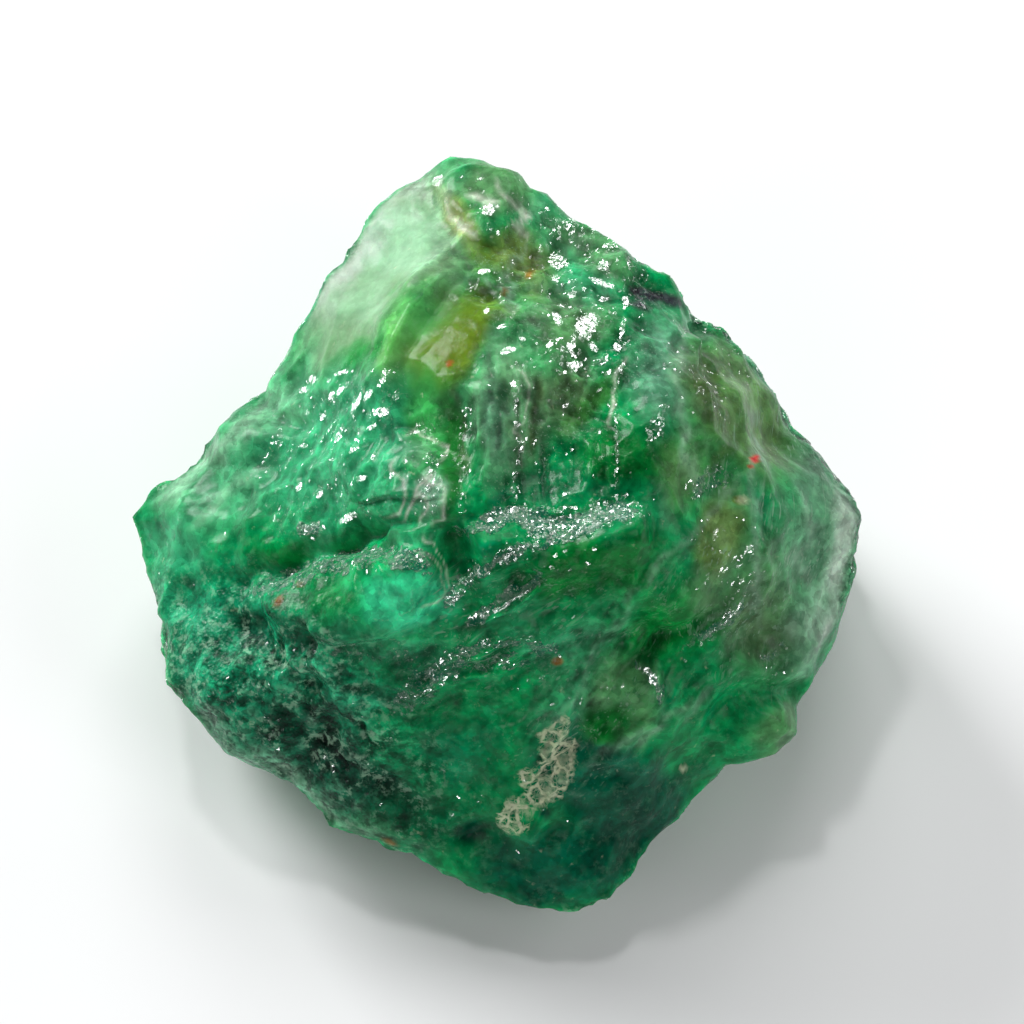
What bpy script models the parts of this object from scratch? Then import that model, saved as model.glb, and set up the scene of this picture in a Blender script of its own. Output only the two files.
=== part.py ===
"""Raw fluorite: one rough lump of green fluorite, broken on every side, that rests on a flat break.

The lump is worked out in the frame of its show side: u runs to the right along that side, v up it and
w out of it. The show side leans back from level by LEAN, so +Z is up when the lump rests.

Four steps make the shape. A set of flat breaks cuts a solid out of space, with edges that are only a
little worn. The solid's widest line, seen from the show side, is then drawn to its true outline. Next
come the forms that stand up or lie deep: the hollow, the ledge, the round lump, the ridges and the
pits. Small chips roughen all of it. At the end the underside is broken off flat.
"""

import math

import bmesh
import bpy
import numpy as np

# ---------------------------------------------------------------- driving dimensions, mm and degrees

NAME = "raw_fluorite"
MM = 0.001

LEAN = math.radians(25.0)  # the show side leans back this far from level
UNDER = 11.0  # from the middle of the lump down to its underside
REST_CUT = 0.35  # what the flat resting break takes off the underside
MIDDLE = (0.0, 0.7)  # middle of the lump's box seen from above, moved to the origin

SQUARES = 28  # squares along each edge of the starting cube
EDGE = 26.0  # how sharply the flat breaks meet: more is sharper
OUTLINE_STARTS = 0.62  # share of the rim's radius inside which the outline moves nothing

UNEVEN_SIZE = 7.0  # the long waves in every break
UNEVEN_DEPTH = 0.45
UNEVEN_SEED = 11
WARP_SIZE = 3.0  # the wander that keeps the drawn forms from running straight
WARP_DEPTH = 0.6
WARP_SEEDS = (21, 22)
CHIP_SIZE = 4.6  # the shell-shaped chips of a brittle break
CHIP_TILT = 0.34
CHIP_CURL = 0.5
CHIP_DROP = 0.3  # how much lower one chip may lie than the next, as a share of their size
CHIP_SHARE = 0.42
CHIP_SEED = 51
CELLS_AWAY = 2  # a chip is looked for this many cells away
COBBLE_SIZE = 2.4  # the round grains of the crumbly corner
COBBLE_SHARE = 0.34
COBBLE_SEED = 53
CHIP_LEVEL = 0.27  # middle height of the chips, as a share of their size
RIM_STARTS = 0.80  # share of the rim's radius outside which the outline holds the large chips itself
RIM_RELIEF = 0.3  # what is left there of the chips and the long waves
RIM_BAND = 0.3  # how far the ground may face in or out of the show side and still count as the rim
RIM_TURNS = 241  # turns at which the widest line is measured
RIM_TILTS = np.radians(np.arange(60.0, 130.0, 2.0))  # tilts among which it is looked for
LAYER_SHIFT = 7.1  # how far each layer of noise is moved, so that the layers don't line up

# The flat breaks: the way each one faces, as a turn in the show side's plane (0 is right, 90 is up)
# and a tilt away from straight out, then its distance from the middle.
BREAKS = {
    "brow": (80, 6, 10.7),
    "west slope": (160, 46, 9.2),
    "north-west slope": (125, 48, 11.6),
    "north slope": (80, 44, 12.5),
    "north-east slope": (52, 55, 14.0),
    "east rim": (28, 60, 13.9),
    "east slope": (-2, 44, 12.2),
    "south-east slope": (-36, 50, 12.4),
    "south-east drop": (-60, 54, 13.6),
    "south slope": (-92, 27, 8.9),
    "south-west slope": (-128, 48, 12.0),
    "south toe": (-96, 52, 13.7),
    "west tip": (188, 60, 14.9),
    "under west": (178, 104, 17.2),
    "under north-west": (143, 108, 14.4),
    "under north": (92, 118, 17.4),
    "under north-east": (52, 112, 14.5),
    "under east": (8, 98, 17.0),
    "under south-east": (-30, 95, 16.6),
    "under south": (-72, 106, 17.2),
    "under south-west": (-122, 92, 15.6),
    "under far west": (-154, 94, 16.0),
}

# The lump's widest line, seen from the show side.
OUTLINE = [
    (18.2, 1.2), (17.3, 2.5), (14.8, 5.4), (13.2, 8.3), (11.2, 10.5), (10.0, 11.0), (9.2, 12.0),
    (7.1, 13.5), (4.6, 15.2), (1.5, 17.2), (0.6, 18.3), (-0.7, 18.9), (-2.3, 18.9), (-4.7, 17.8),
    (-7.3, 14.6), (-10.7, 9.2), (-11.5, 7.3), (-12.8, 6.4), (-15.3, 4.0), (-18.7, 1.2), (-18.3, -0.3),
    (-16.9, -4.1), (-16.4, -7.4), (-15.2, -9.1), (-13.4, -10.8), (-10.4, -12.2), (-8.2, -14.4),
    (-4.4, -16.0), (-2.4, -17.2), (1.6, -19.0), (3.8, -19.2), (5.7, -18.5), (7.6, -15.6),
    (11.5, -11.4), (13.8, -10.7), (14.9, -9.8), (15.0, -8.4), (16.5, -5.9), (17.9, -1.3),
]

# Hollows and pits, and round lumps: place, half length, half width, turn of the length, depth or height.
HOLLOWS = {
    "hollow behind the ledge": (3.1, 5.6, 8.2, 6.2, 20, 1.9),
    "deep end of the hollow": (5.6, 6.4, 3.0, 3.0, 0, 0.5),
    "recess beside the round lump": (-2.2, -1.1, 1.4, 2.2, 20, 0.9),
    "west pit": (-12.4, -5.1, 2.1, 2.1, 0, 1.0),
    "small west pit": (-15.7, -3.1, 1.5, 1.5, 0, 0.4),
    "pit under the round lump": (-9.9, -7.6, 1.6, 1.4, 0, 0.5),
    "south-west pit": (-8.4, -10.4, 3.4, 2.4, -40, 0.7),
    "low south-west pit": (-4.9, -12.9, 2.8, 2.0, -30, 0.6),
    "toe pit": (-1.4, -14.7, 1.3, 1.3, 0, 0.5),
    "small toe pit": (3.1, -14.4, 1.1, 1.1, 0, 0.35),
    "east hollow": (7.9, -5.1, 2.5, 2.5, 0, 0.5),
    "north-east hollow": (10.9, 8.2, 2.0, 2.0, 0, 0.5),
    "low east hollow": (13.4, -5.1, 2.2, 2.2, 0, 0.35),
}
LUMPS = {
    "round lump": (-7.3, -2.7, 5.0, 2.3, 8, 1.2),
    "south-east knob": (5.9, -7.9, 2.3, 2.8, -30, 0.45),
    "north knob": (-1.0, 17.0, 2.4, 1.6, 0, 0.35),
}
LUMP_SHOULDER = 0.35  # share of a lump's half width over which it rises

# Lines that several forms follow.
LEDGE = [
    (-2.9, -0.2), (-0.7, 0.6), (0.8, 1.0), (2.0, 0.7), (2.9, 0.4), (3.8, 0.5), (4.8, 0.8), (6.2, 1.2),
    (8.0, 1.3),
]
WEST_CREST = [(-1.4, 14.4), (-3.4, 10.4), (-4.6, 7.9), (-4.6, 5.4), (-2.9, 4.2), (-2.5, 1.9), (-2.9, 0.2)]
BULGE_FOOT = [(-3.0, 0.6), (-5.0, 0.9), (-6.7, 0.5), (-7.6, -0.3), (-9.4, -1.1), (-11.1, -1.5), (-13.0, -2.4)]
VEIL_LINE = [(9.6, 11.4), (9.6, 8.9), (10.1, 5.4), (12.2, 3.4), (12.7, -1.1), (12.9, -5.1)]
FIBRE_LINE = [(7.1, -0.3), (6.1, -2.6), (5.0, -5.1), (3.6, -7.6), (2.5, -10.4), (1.1, -13.1)]
BRINK = [(1.1, -15.4), (2.4, -13.3), (3.9, -11.6), (6.3, -10.0), (11.1, -7.6), (14.6, -6.3)]

# Steps: height, width of the edge, width of the top, run-off beyond it, then the edge's line. The
# higher ground is on the right of the line.
STEPS = {
    "ledge": (1.5, 0.65, 0.7, 2.9, LEDGE),
    "west crest": (0.9, 0.35, 1.2, 3.6, WEST_CREST),
    "west bulge": (0.55, 0.3, 1.6, 3.2, BULGE_FOOT),
}

# Ridges, sharp on top, and creases, round at the bottom: height or depth, half width, line.
RIDGES = {
    "white ridge": (0.6, 0.35, [(-1.8, -4.5), (-1.1, -3.9), (0.1, -3.1), (1.2, -2.4), (2.4, -1.6)]),
    "upper ridge": (0.5, 0.4, [(-2.6, -2.7), (-1.6, -1.9), (-0.6, -1.1), (1.2, -0.4), (3.2, -0.7)]),
    "middle ridge": (0.3, 0.4, [(-3.9, -6.3), (-2.4, -5.3), (-0.4, -4.9), (1.1, -4.7), (2.5, -5.2)]),
    "lower ridge": (0.35, 0.35, [(-4.9, -8.1), (-3.6, -7.1), (-2.2, -6.3), (0.0, -6.0), (1.9, -6.2)]),
    "east fibre ridge": (0.4, 0.7, FIBRE_LINE),
    "veil ridge": (0.5, 0.6, VEIL_LINE),
    "south-east brink": (0.6, 0.7, BRINK),
}
CREASES = {
    "crease under the west bulge": (0.6, 0.45, BULGE_FOOT[::-1]),
    "notch over the south-east lobe": (0.7, 0.5, [(16.6, -7.4), (13.6, -7.6), (11.4, -8.7), (9.6, -9.8)]),
    "gap over the south-east knob": (0.6, 0.4, [(6.4, -6.7), (8.2, -5.4), (9.8, -4.3), (11.4, -2.9)]),
    "north-east notch": (0.6, 0.45, [(11.4, 12.1), (10.3, 10.4), (10.1, 8.3)]),
    "west notch": (0.45, 0.6, [(-12.4, 7.7), (-9.9, 5.9), (-8.4, 5.4)]),
}
FADE = 0.18  # share of a line's length over which each end fades out

CRUMBLY = (-10.4, -8.8, 12.4, 7.2, -40)  # the crumbly corner: place, half length, half width, turn
CRUMBLY_BORDER = 0.4  # share of its half width over which it fades in
CRUMBLY_CHIPS = 0.4  # what is left in it of the large chips

# Where a form drawn on the show side stops: how far its ground faces out of that side.
FACING = (0.05, 0.45)
# Where the underside stays plain: how far its ground faces down, and how far out from the middle.
DOWNWARD = (0.80, 0.97)
PLAIN_MIDDLE = (6.0, 12.0)
# Beyond the plain middle the underside rises, so that the lump touches down only there: how far out
# that starts and ends, how much it is, and the height over which the sides take it up.
UNDERCUT = (6.2, 13.0)
UNDERCUT_RISE = 1.6
UNDERCUT_HEIGHT = 5.0
REST_SIDES = (20.0, 95.0, 160.0, 235.0, 305.0)  # which ways the sides of the flat break face, in degrees


# ---------------------------------------------------------------- helpers


def smooth(value, low, high):
    """Goes from 0 at low to 1 at high, level at both ends."""
    share = np.clip((value - low) / (high - low), 0.0, 1.0)
    return share * share * (3.0 - 2.0 * share)


def unit(vectors):
    return vectors / np.linalg.norm(vectors, axis=1, keepdims=True)


def random_block(seed, width):
    """Random numbers from 0 to 1 on 32 x 32 x 32 cells, a block that repeats in every direction."""
    return np.random.default_rng(seed).random((32, 32, 32, width))


def soft_noise(points, seed):
    """Random values from -1 to 1 at whole numbers, blended smoothly between them."""
    numbers = random_block(seed, 1)[..., 0]
    cell = np.floor(points).astype(int)
    part = points - cell
    blend = part * part * (3.0 - 2.0 * part)
    total = np.zeros(len(points))
    for corner in np.ndindex(2, 2, 2):
        share = np.prod(np.where(corner, blend, 1.0 - blend), axis=1)
        total += share * numbers[tuple(((cell + corner) % 32).T)]
    return 2.0 * total - 1.0


def rough(points, size, octaves, seed):
    """Soft noise in layers, each half as wide and half as high as the last."""
    total = np.zeros(len(points))
    for layer in range(octaves):
        total += soft_noise(points / size * 2**layer + LAYER_SHIFT * layer, seed + layer) / 2**layer
    return total


def chips(points, size, seed):
    """Bowls set in a jittered lattice, each with its own tilt: the lowest one wins at each point."""
    numbers = random_block(seed, 7)
    scaled = points / size
    cell = np.floor(scaled).astype(int)
    lowest = np.full(len(points), np.inf)
    for step in np.ndindex((2 * CELLS_AWAY + 1,) * 3):
        near = cell + np.array(step) - CELLS_AWAY
        dice = numbers[tuple((near % 32).T)]
        offset = scaled - near - dice[:, :3]
        slope = (CHIP_TILT * (2.0 * dice[:, 3:6] - 1.0) * offset).sum(axis=1)
        bowl = slope + CHIP_CURL * (offset**2).sum(axis=1) + CHIP_DROP * dice[:, 6]
        lowest = np.minimum(lowest, bowl)
    return size * (lowest - CHIP_LEVEL)


# ---------------------------------------------------------------- the lump and its outline


def break_table():
    """The outward direction and the distance of each flat break, with the one under the lump."""
    turn, tilt, distance = np.array(list(BREAKS.values())).T
    turn, tilt = np.radians(turn), np.radians(tilt)
    facing = np.stack([np.cos(turn) * np.sin(tilt), np.sin(turn) * np.sin(tilt), np.cos(tilt)], axis=1)
    down = [[0.0, -math.sin(LEAN), -math.cos(LEAN)]]
    return np.vstack([facing, down]), np.append(distance, UNDER)


def cut_lump(directions):
    """How far the lump reaches in each direction, and which way its surface faces there.

    A break at distance d stops a direction that faces it by c at d / c. The breaks are summed as
    (c / d) to the power EDGE, whose root is close to the nearest break and rounds where two meet.
    """
    facing, distance = break_table()
    share = np.clip(directions @ facing.T, 0.0, None) / distance
    total = (share**EDGE).sum(axis=1)
    reach = total ** (-1.0 / EDGE)
    normals = unit((share ** (EDGE - 1.0) / distance) @ facing)
    return reach, normals


def turn_of(u, v):
    return np.arctan2(v, u)


def outline_reach(turns):
    """Distance from the middle to the outline, at each turn in the show side's plane."""
    u, v = np.array(OUTLINE).T
    order = np.argsort(turn_of(u, v))
    return np.interp(turns, turn_of(u, v)[order], np.hypot(u, v)[order], period=2.0 * math.pi)


def rim_reach(turns):
    """Distance from the middle to the cut lump's widest line, at each turn: the widest of its tilts."""
    grid = np.linspace(-math.pi, math.pi, RIM_TURNS)
    around = np.stack([np.cos(grid), np.sin(grid)], axis=1)
    widest = np.zeros(RIM_TURNS)
    for tilt in RIM_TILTS:
        ring = np.column_stack([around * np.sin(tilt), np.full(RIM_TURNS, np.cos(tilt))])
        widest = np.maximum(widest, cut_lump(ring)[0] * np.sin(tilt))
    return np.interp(turns, grid, widest)


def fitted_lump(directions):
    """The cut lump's points, drawn in or out in u and v so that the widest line is the outline.

    With them come the way the lump faces at each point and how near the rim it is, 1 being on it.
    """
    reach, normals = cut_lump(directions)
    points = directions * reach[:, None]
    turns = turn_of(points[:, 0], points[:, 1])
    rim = rim_reach(turns)
    share_of_rim = np.hypot(points[:, 0], points[:, 1]) / rim
    scale = 1.0 + (outline_reach(turns) / rim - 1.0) * smooth(share_of_rim, OUTLINE_STARTS, 1.0)
    points[:, :2] *= scale[:, None]
    return points, normals, share_of_rim


# ---------------------------------------------------------------- forms on the show side


def ellipse_share(u, v, place):
    """1 in the middle of an ellipse, falling evenly to 0 on its rim and below 0 outside."""
    middle_u, middle_v, half_length, half_width, turn = place
    turn = math.radians(turn)
    along = ((u - middle_u) * math.cos(turn) + (v - middle_v) * math.sin(turn)) / half_length
    across = ((v - middle_v) * math.cos(turn) - (u - middle_u) * math.sin(turn)) / half_width
    return 1.0 - np.hypot(along, across)


def line_reading(u, v, line):
    """Signed distance to a broken line, above 0 on its left, and the share of its length run so far."""
    line = np.array(line)
    steps = np.diff(line, axis=0)
    lengths = np.hypot(*steps.T)
    starts = np.concatenate([[0.0], np.cumsum(lengths)])
    nearest = np.full(len(u), np.inf)
    signed = np.zeros(len(u))
    run = np.zeros(len(u))
    for start, step, length, before in zip(line[:-1], steps, lengths, starts):
        du, dv = u - start[0], v - start[1]
        share = np.clip((du * step[0] + dv * step[1]) / length**2, 0.0, 1.0)
        distance = np.hypot(du - share * step[0], dv - share * step[1])
        side = np.sign(step[0] * dv - step[1] * du)
        closer = distance < nearest
        nearest = np.where(closer, distance, nearest)
        signed = np.where(closer, distance * side, signed)
        run = np.where(closer, before + share * length, run)
    return signed, run / starts[-1]


def fading_ends(run):
    return smooth(run, 0.0, FADE) * smooth(1.0 - run, 0.0, FADE)


def hollow_height(u, v):
    total = np.zeros(len(u))
    for *place, depth in HOLLOWS.values():
        total -= depth * smooth(ellipse_share(u, v, place), 0.0, 1.0)
    return total


def lump_height(u, v):
    total = np.zeros(len(u))
    for *place, height in LUMPS.values():
        total += height * smooth(ellipse_share(u, v, place), 0.0, LUMP_SHOULDER)
    return total


def step_height(u, v):
    """Each step rises over its edge, stays up along its top and comes down again over its run-off."""
    total = np.zeros(len(u))
    for height, edge, top, run_off, line in STEPS.values():
        signed, run = line_reading(u, v, line)
        rise = smooth(-signed, -edge, edge) * (1.0 - smooth(-signed, top, top + run_off))
        total += height * rise * fading_ends(run)
    return total


def ridge_height(u, v):
    total = np.zeros(len(u))
    for height, half_width, line in RIDGES.values():
        signed, run = line_reading(u, v, line)
        total += height * np.exp(-np.abs(signed) / half_width) * fading_ends(run)
    return total


def crease_height(u, v):
    total = np.zeros(len(u))
    for depth, half_width, line in CREASES.values():
        signed, run = line_reading(u, v, line)
        total -= depth * np.exp(-((signed / half_width) ** 2)) * smooth(1.0 - run, 0.0, 2.0 * FADE)
    return total


def drawn_forms(u, v):
    standing = lump_height(u, v) + step_height(u, v) + ridge_height(u, v)
    return standing + hollow_height(u, v) + crease_height(u, v)


def plain_underside(points, normals):
    """1 where the lump rests, 0 wherever relief is allowed."""
    facing_down = -normals[:, 1] * math.sin(LEAN) - normals[:, 2] * math.cos(LEAN)
    from_middle = np.hypot(points[:, 0], points[:, 1] * math.cos(LEAN) - points[:, 2] * math.sin(LEAN))
    return smooth(facing_down, *DOWNWARD) * (1.0 - smooth(from_middle, *PLAIN_MIDDLE))


def relief(points, normals, share_of_rim):
    """How far each point moves along its normal."""
    wander = np.stack([rough(points, WARP_SIZE, 2, seed) for seed in WARP_SEEDS], axis=1)
    drawn = drawn_forms(points[:, 0] + WARP_DEPTH * wander[:, 0], points[:, 1] + WARP_DEPTH * wander[:, 1])
    shows = smooth(normals[:, 2], *FACING)
    crumbly = smooth(ellipse_share(points[:, 0], points[:, 1], CRUMBLY), 0.0, CRUMBLY_BORDER) * shows
    broken = UNEVEN_DEPTH * rough(points, UNEVEN_SIZE, 3, UNEVEN_SEED)
    broken += CHIP_SHARE * chips(points, CHIP_SIZE, CHIP_SEED) * (1.0 - (1.0 - CRUMBLY_CHIPS) * crumbly)
    rim_band = smooth(share_of_rim, RIM_STARTS, 1.0) * np.exp(-((normals[:, 2] / RIM_BAND) ** 2))
    broken *= 1.0 - (1.0 - RIM_RELIEF) * rim_band
    grains = COBBLE_SHARE * chips(points, COBBLE_SIZE, COBBLE_SEED) * crumbly
    return (drawn * shows + broken - grains) * (1.0 - plain_underside(points, normals))


# ---------------------------------------------------------------- the object


def stone_points(directions):
    """The finished lump's points in mm, standing on its resting break, for directions from its middle."""
    points, normals, share_of_rim = fitted_lump(directions)
    points += normals * relief(points, normals, share_of_rim)[:, None]
    u, v, w = points.T
    x = u - MIDDLE[0]
    y = v * math.cos(LEAN) - w * math.sin(LEAN) - MIDDLE[1]
    z = np.maximum(v * math.sin(LEAN) + w * math.cos(LEAN) + UNDER - REST_CUT, 0.0)
    turns = np.radians(REST_SIDES)[:, None]
    outward = (x * np.cos(turns) + y * np.sin(turns)).max(axis=0)
    z += UNDERCUT_RISE * smooth(outward, *UNDERCUT) * (1.0 - smooth(z, 0.0, UNDERCUT_HEIGHT))
    return np.stack([x, y, z], axis=1)


def cube_directions(corners):
    """Directions that share a cube's squares out evenly over a ball."""
    return unit(np.tan(corners * math.pi / 4.0))


def remove_scene_objects():
    for thing in list(bpy.data.objects):
        bpy.data.objects.remove(thing, do_unlink=True)


def green_fluorite():
    material = bpy.data.materials.new("green_fluorite")
    material.use_nodes = True
    shader = material.node_tree.nodes["Principled BSDF"]
    shader.inputs["Base Color"].default_value = (0.02, 0.2, 0.08, 1.0)
    shader.inputs["Roughness"].default_value = 0.25
    shader.inputs["Metallic"].default_value = 0.0
    shader.inputs["IOR"].default_value = 1.434
    return material


def build_stone(collection):
    """A cube of even squares, pushed out to the lump's surface."""
    mesh = bpy.data.meshes.new(NAME)
    stone = bpy.data.objects.new(NAME, mesh)
    collection.objects.link(stone)
    shape = bmesh.new()
    bmesh.ops.create_cube(shape, size=2.0)
    bmesh.ops.subdivide_edges(shape, edges=shape.edges[:], cuts=SQUARES - 1, use_grid_fill=True)
    corners = np.array([vertex.co[:] for vertex in shape.verts])
    for vertex, place in zip(shape.verts, stone_points(cube_directions(corners)) * MM):
        vertex.co = place
    bmesh.ops.triangulate(shape, faces=shape.faces[:], quad_method="SHORT_EDGE")
    bmesh.ops.recalc_face_normals(shape, faces=shape.faces[:])
    shape.to_mesh(mesh)
    shape.free()
    mesh.materials.append(green_fluorite())
    return stone


remove_scene_objects()
parts = bpy.data.collections.new(NAME)
bpy.context.scene.collection.children.link(parts)
build_stone(parts)
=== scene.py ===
# %% [markdown]
# # A rough lump of green fluorite
#
# Fluorite breaks like thick glass. A loose lump of it has flat breaks where it came off the vein,
# shell-shaped chips all over them, and a skin that is glassy in some places and frosted in others.
# This lesson builds the whole stone as one closed surface, worked out with numpy, and then paints it.

# %% The packed stone and its box
import math

import bpy
import numpy as np
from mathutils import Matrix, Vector


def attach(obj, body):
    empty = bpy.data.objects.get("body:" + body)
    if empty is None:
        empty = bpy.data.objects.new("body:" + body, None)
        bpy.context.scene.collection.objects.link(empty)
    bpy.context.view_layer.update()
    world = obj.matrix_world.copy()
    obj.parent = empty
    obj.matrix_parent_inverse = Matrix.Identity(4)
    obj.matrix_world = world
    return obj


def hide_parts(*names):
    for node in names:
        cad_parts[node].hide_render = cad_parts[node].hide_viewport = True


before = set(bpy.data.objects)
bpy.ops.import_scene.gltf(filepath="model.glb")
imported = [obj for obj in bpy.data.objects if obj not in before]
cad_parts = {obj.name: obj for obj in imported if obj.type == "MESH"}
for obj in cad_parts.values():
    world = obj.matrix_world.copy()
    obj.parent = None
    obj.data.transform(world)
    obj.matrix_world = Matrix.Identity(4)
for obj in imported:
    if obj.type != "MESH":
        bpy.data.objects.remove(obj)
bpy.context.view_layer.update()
MM = 0.001

# %% [markdown]
# ## The frame of the show side
#
# One side of the stone leans back a little and shows everything worth seeing. It is easiest to draw on
# that side as if it were a sheet of paper: u runs right, v runs up the sheet and w comes out of it.
# All sizes here are millimetres, and only the very last step turns them into metres.

# %% Sizes of the stone
LEAN = math.radians(25.0)  # the show side leans back from level by this much
UNDER = 11.0  # from the middle of the stone down to its underside
REST_CUT = 0.35  # what the flat resting break takes off the underside
MIDDLE = (0.0, 0.7)  # middle of the stone's box seen from above, moved to the origin
EDGE = 26.0  # how sharply the flat breaks meet
OUTLINE_STARTS = 0.62  # share of the rim's radius inside which the outline moves nothing
FACING = (0.05, 0.45)  # how far the ground faces out of the show side where drawn forms fade in


def smooth(value, low, high):
    """Goes from 0 at low to 1 at high, level at both ends: 3 s squared minus 2 s cubed."""
    share = np.clip((value - low) / (high - low), 0.0, 1.0)
    return share * share * (3.0 - 2.0 * share)


def unit(vectors):
    return vectors / np.linalg.norm(vectors, axis=1, keepdims=True)


print("the show side leans back by, degrees:", round(math.degrees(LEAN)))

# %% [markdown]
# ## Chance that is the same every time
#
# A broken surface needs chance, but a model must come out the same on each run. A block of random
# numbers with a fixed seed gives both. Soft noise blends the numbers between whole points. Chips use
# them to place small bowls, of which the lowest wins: that leaves sharp arrises between smooth hollows,
# which is just how glassy stone breaks.

# %% Noise and chips
BLOCK = 32  # cells along each edge of a block of random numbers, after which it repeats
LAYER_SHIFT = 7.1  # moves each layer of noise along, so that no two layers line up


def random_block(seed, width):
    """Random numbers from 0 to 1, this many on each cell of a block that repeats in every direction."""
    return np.random.default_rng(seed).random((BLOCK, BLOCK, BLOCK, width))


def soft_noise(points, seed):
    """Random values from -1 to 1 at whole numbers, blended smoothly between them."""
    numbers = random_block(seed, 1)[..., 0]
    cell = np.floor(points).astype(int)
    part = points - cell
    blend = part * part * (3.0 - 2.0 * part)
    total = np.zeros(len(points))
    for corner in np.ndindex(2, 2, 2):
        share = np.prod(np.where(corner, blend, 1.0 - blend), axis=1)
        total += share * numbers[tuple(((cell + corner) % BLOCK).T)]
    return 2.0 * total - 1.0


def rough(points, size, octaves, seed):
    """Soft noise in layers, each half as wide and half as high as the last."""
    total = np.zeros(len(points))
    for layer in range(octaves):
        total += soft_noise(points / size * 2**layer + LAYER_SHIFT * layer, seed + layer) / 2**layer
    return total


def drift(points, size, octaves, *seeds):
    """Rough noise once for each seed, side by side: a way for each point to stray, axis by axis."""
    return np.stack([rough(points, size, octaves, seed) for seed in seeds], axis=1)


CHIP_TILT = 0.34
CHIP_CURL = 0.5
CHIP_DROP = 0.3  # how much lower one chip may lie than the next, as a share of their size
CHIP_LEVEL = 0.27  # middle height of the chips, as a share of their size


def chips(points, size, seed, cells_away=1):
    """Bowls with a tilt of their own in a jittered lattice: tilt . offset + curl |offset|^2, lowest wins."""
    numbers = random_block(seed, 7)  # three for each bowl's place, three for its tilt, one for its depth
    scaled = points / size
    cell = np.floor(scaled).astype(int)
    lowest = np.full(len(points), np.inf)
    for step in np.ndindex((2 * cells_away + 1,) * 3):
        near = cell + np.array(step) - cells_away
        dice = numbers[tuple((near % BLOCK).T)]
        offset = scaled - near - dice[:, :3]
        slope = (CHIP_TILT * (2.0 * dice[:, 3:6] - 1.0) * offset).sum(axis=1)
        bowl = slope + CHIP_CURL * (offset**2).sum(axis=1) + CHIP_DROP * dice[:, 6]
        lowest = np.minimum(lowest, bowl)
    return size * (lowest - CHIP_LEVEL)


print("a flat point's chip, mm:", chips(np.zeros((1, 3)), 1.0, 1).round(2))

# %% [markdown]
# ## The lump between its flat breaks
#
# Each break is a plane, given by the way it faces and how far it lies from the middle. A direction is
# stopped by the nearest plane in its way. Taking the smallest distance would leave knife edges, so the
# planes are summed with a high power instead, which rounds each edge by a fraction of a millimetre.

# %% Breaks and the rounded solid between them
BREAKS = {  # turn in the sheet (0 right, 90 up), tilt away from straight out, distance from the middle
    "brow": (80, 6, 10.7),
    "west slope": (160, 46, 9.2),
    "north-west slope": (125, 48, 11.6),
    "north slope": (80, 44, 12.5),
    "north-east slope": (52, 55, 14.0),
    "east rim": (28, 60, 13.9),
    "east slope": (-2, 44, 12.2),
    "south-east slope": (-36, 50, 12.4),
    "south-east drop": (-60, 54, 13.6),
    "south slope": (-92, 27, 8.9),
    "south-west slope": (-128, 48, 12.0),
    "south toe": (-96, 52, 13.7),
    "west tip": (188, 60, 14.9),
    "under west": (178, 104, 17.2),
    "under north-west": (143, 108, 14.4),
    "under north": (92, 118, 17.4),
    "under north-east": (52, 112, 14.5),
    "under east": (8, 98, 17.0),
    "under south-east": (-30, 95, 16.6),
    "under south": (-72, 106, 17.2),
    "under south-west": (-122, 92, 15.6),
    "under far west": (-154, 94, 16.0),
}


def break_table():
    """The outward direction and the distance of each flat break, with the one under the stone."""
    turn, tilt, distance = np.array(list(BREAKS.values())).T
    turn, tilt = np.radians(turn), np.radians(tilt)
    facing = np.stack([np.cos(turn) * np.sin(tilt), np.sin(turn) * np.sin(tilt), np.cos(tilt)], axis=1)
    down = [[0.0, -math.sin(LEAN), -math.cos(LEAN)]]
    return np.vstack([facing, down]), np.append(distance, UNDER)


def cut_lump(directions):
    """Reach and outward normal per direction: reach is (sum of (cosine / distance)^EDGE)^(-1/EDGE)."""
    facing, distance = break_table()
    share = np.clip(directions @ facing.T, 0.0, None) / distance
    reach = (share**EDGE).sum(axis=1) ** (-1.0 / EDGE)
    normals = unit((share ** (EDGE - 1.0) / distance) @ facing)
    return reach, normals


print("flat breaks:", len(BREAKS) + 1)

# %% [markdown]
# ## The true outline
#
# The eye knows a stone by its outline first. So the widest line of the lump is pulled in or out, along
# the sheet only, until it lies on the drawn outline. The pull fades out towards the middle.

# %% The outline and the fitted lump
OUTLINE = [
    (18.2, 1.2), (17.3, 2.5), (14.8, 5.4), (13.2, 8.3), (11.2, 10.5), (10.0, 11.0), (9.2, 12.0),
    (7.1, 13.5), (4.6, 15.2), (1.5, 17.2), (0.6, 18.3), (-0.7, 18.9), (-2.3, 18.9), (-4.7, 17.8),
    (-7.3, 14.6), (-10.7, 9.2), (-11.5, 7.3), (-12.8, 6.4), (-15.3, 4.0), (-18.7, 1.2), (-18.3, -0.3),
    (-16.9, -4.1), (-16.4, -7.4), (-15.2, -9.1), (-13.4, -10.8), (-10.4, -12.2), (-8.2, -14.4),
    (-4.4, -16.0), (-2.4, -17.2), (1.6, -19.0), (3.8, -19.2), (5.7, -18.5), (7.6, -15.6),
    (11.5, -11.4), (13.8, -10.7), (14.9, -9.8), (15.0, -8.4), (16.5, -5.9), (17.9, -1.3),
]
RIM_TURNS = np.linspace(-math.pi, math.pi, 241)  # where the rim is measured
RIM_TILTS = np.radians(np.arange(60.0, 130.0, 2.0))  # the tilts among which the widest is sought


def turn_of(u, v):
    return np.arctan2(v, u)


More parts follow.
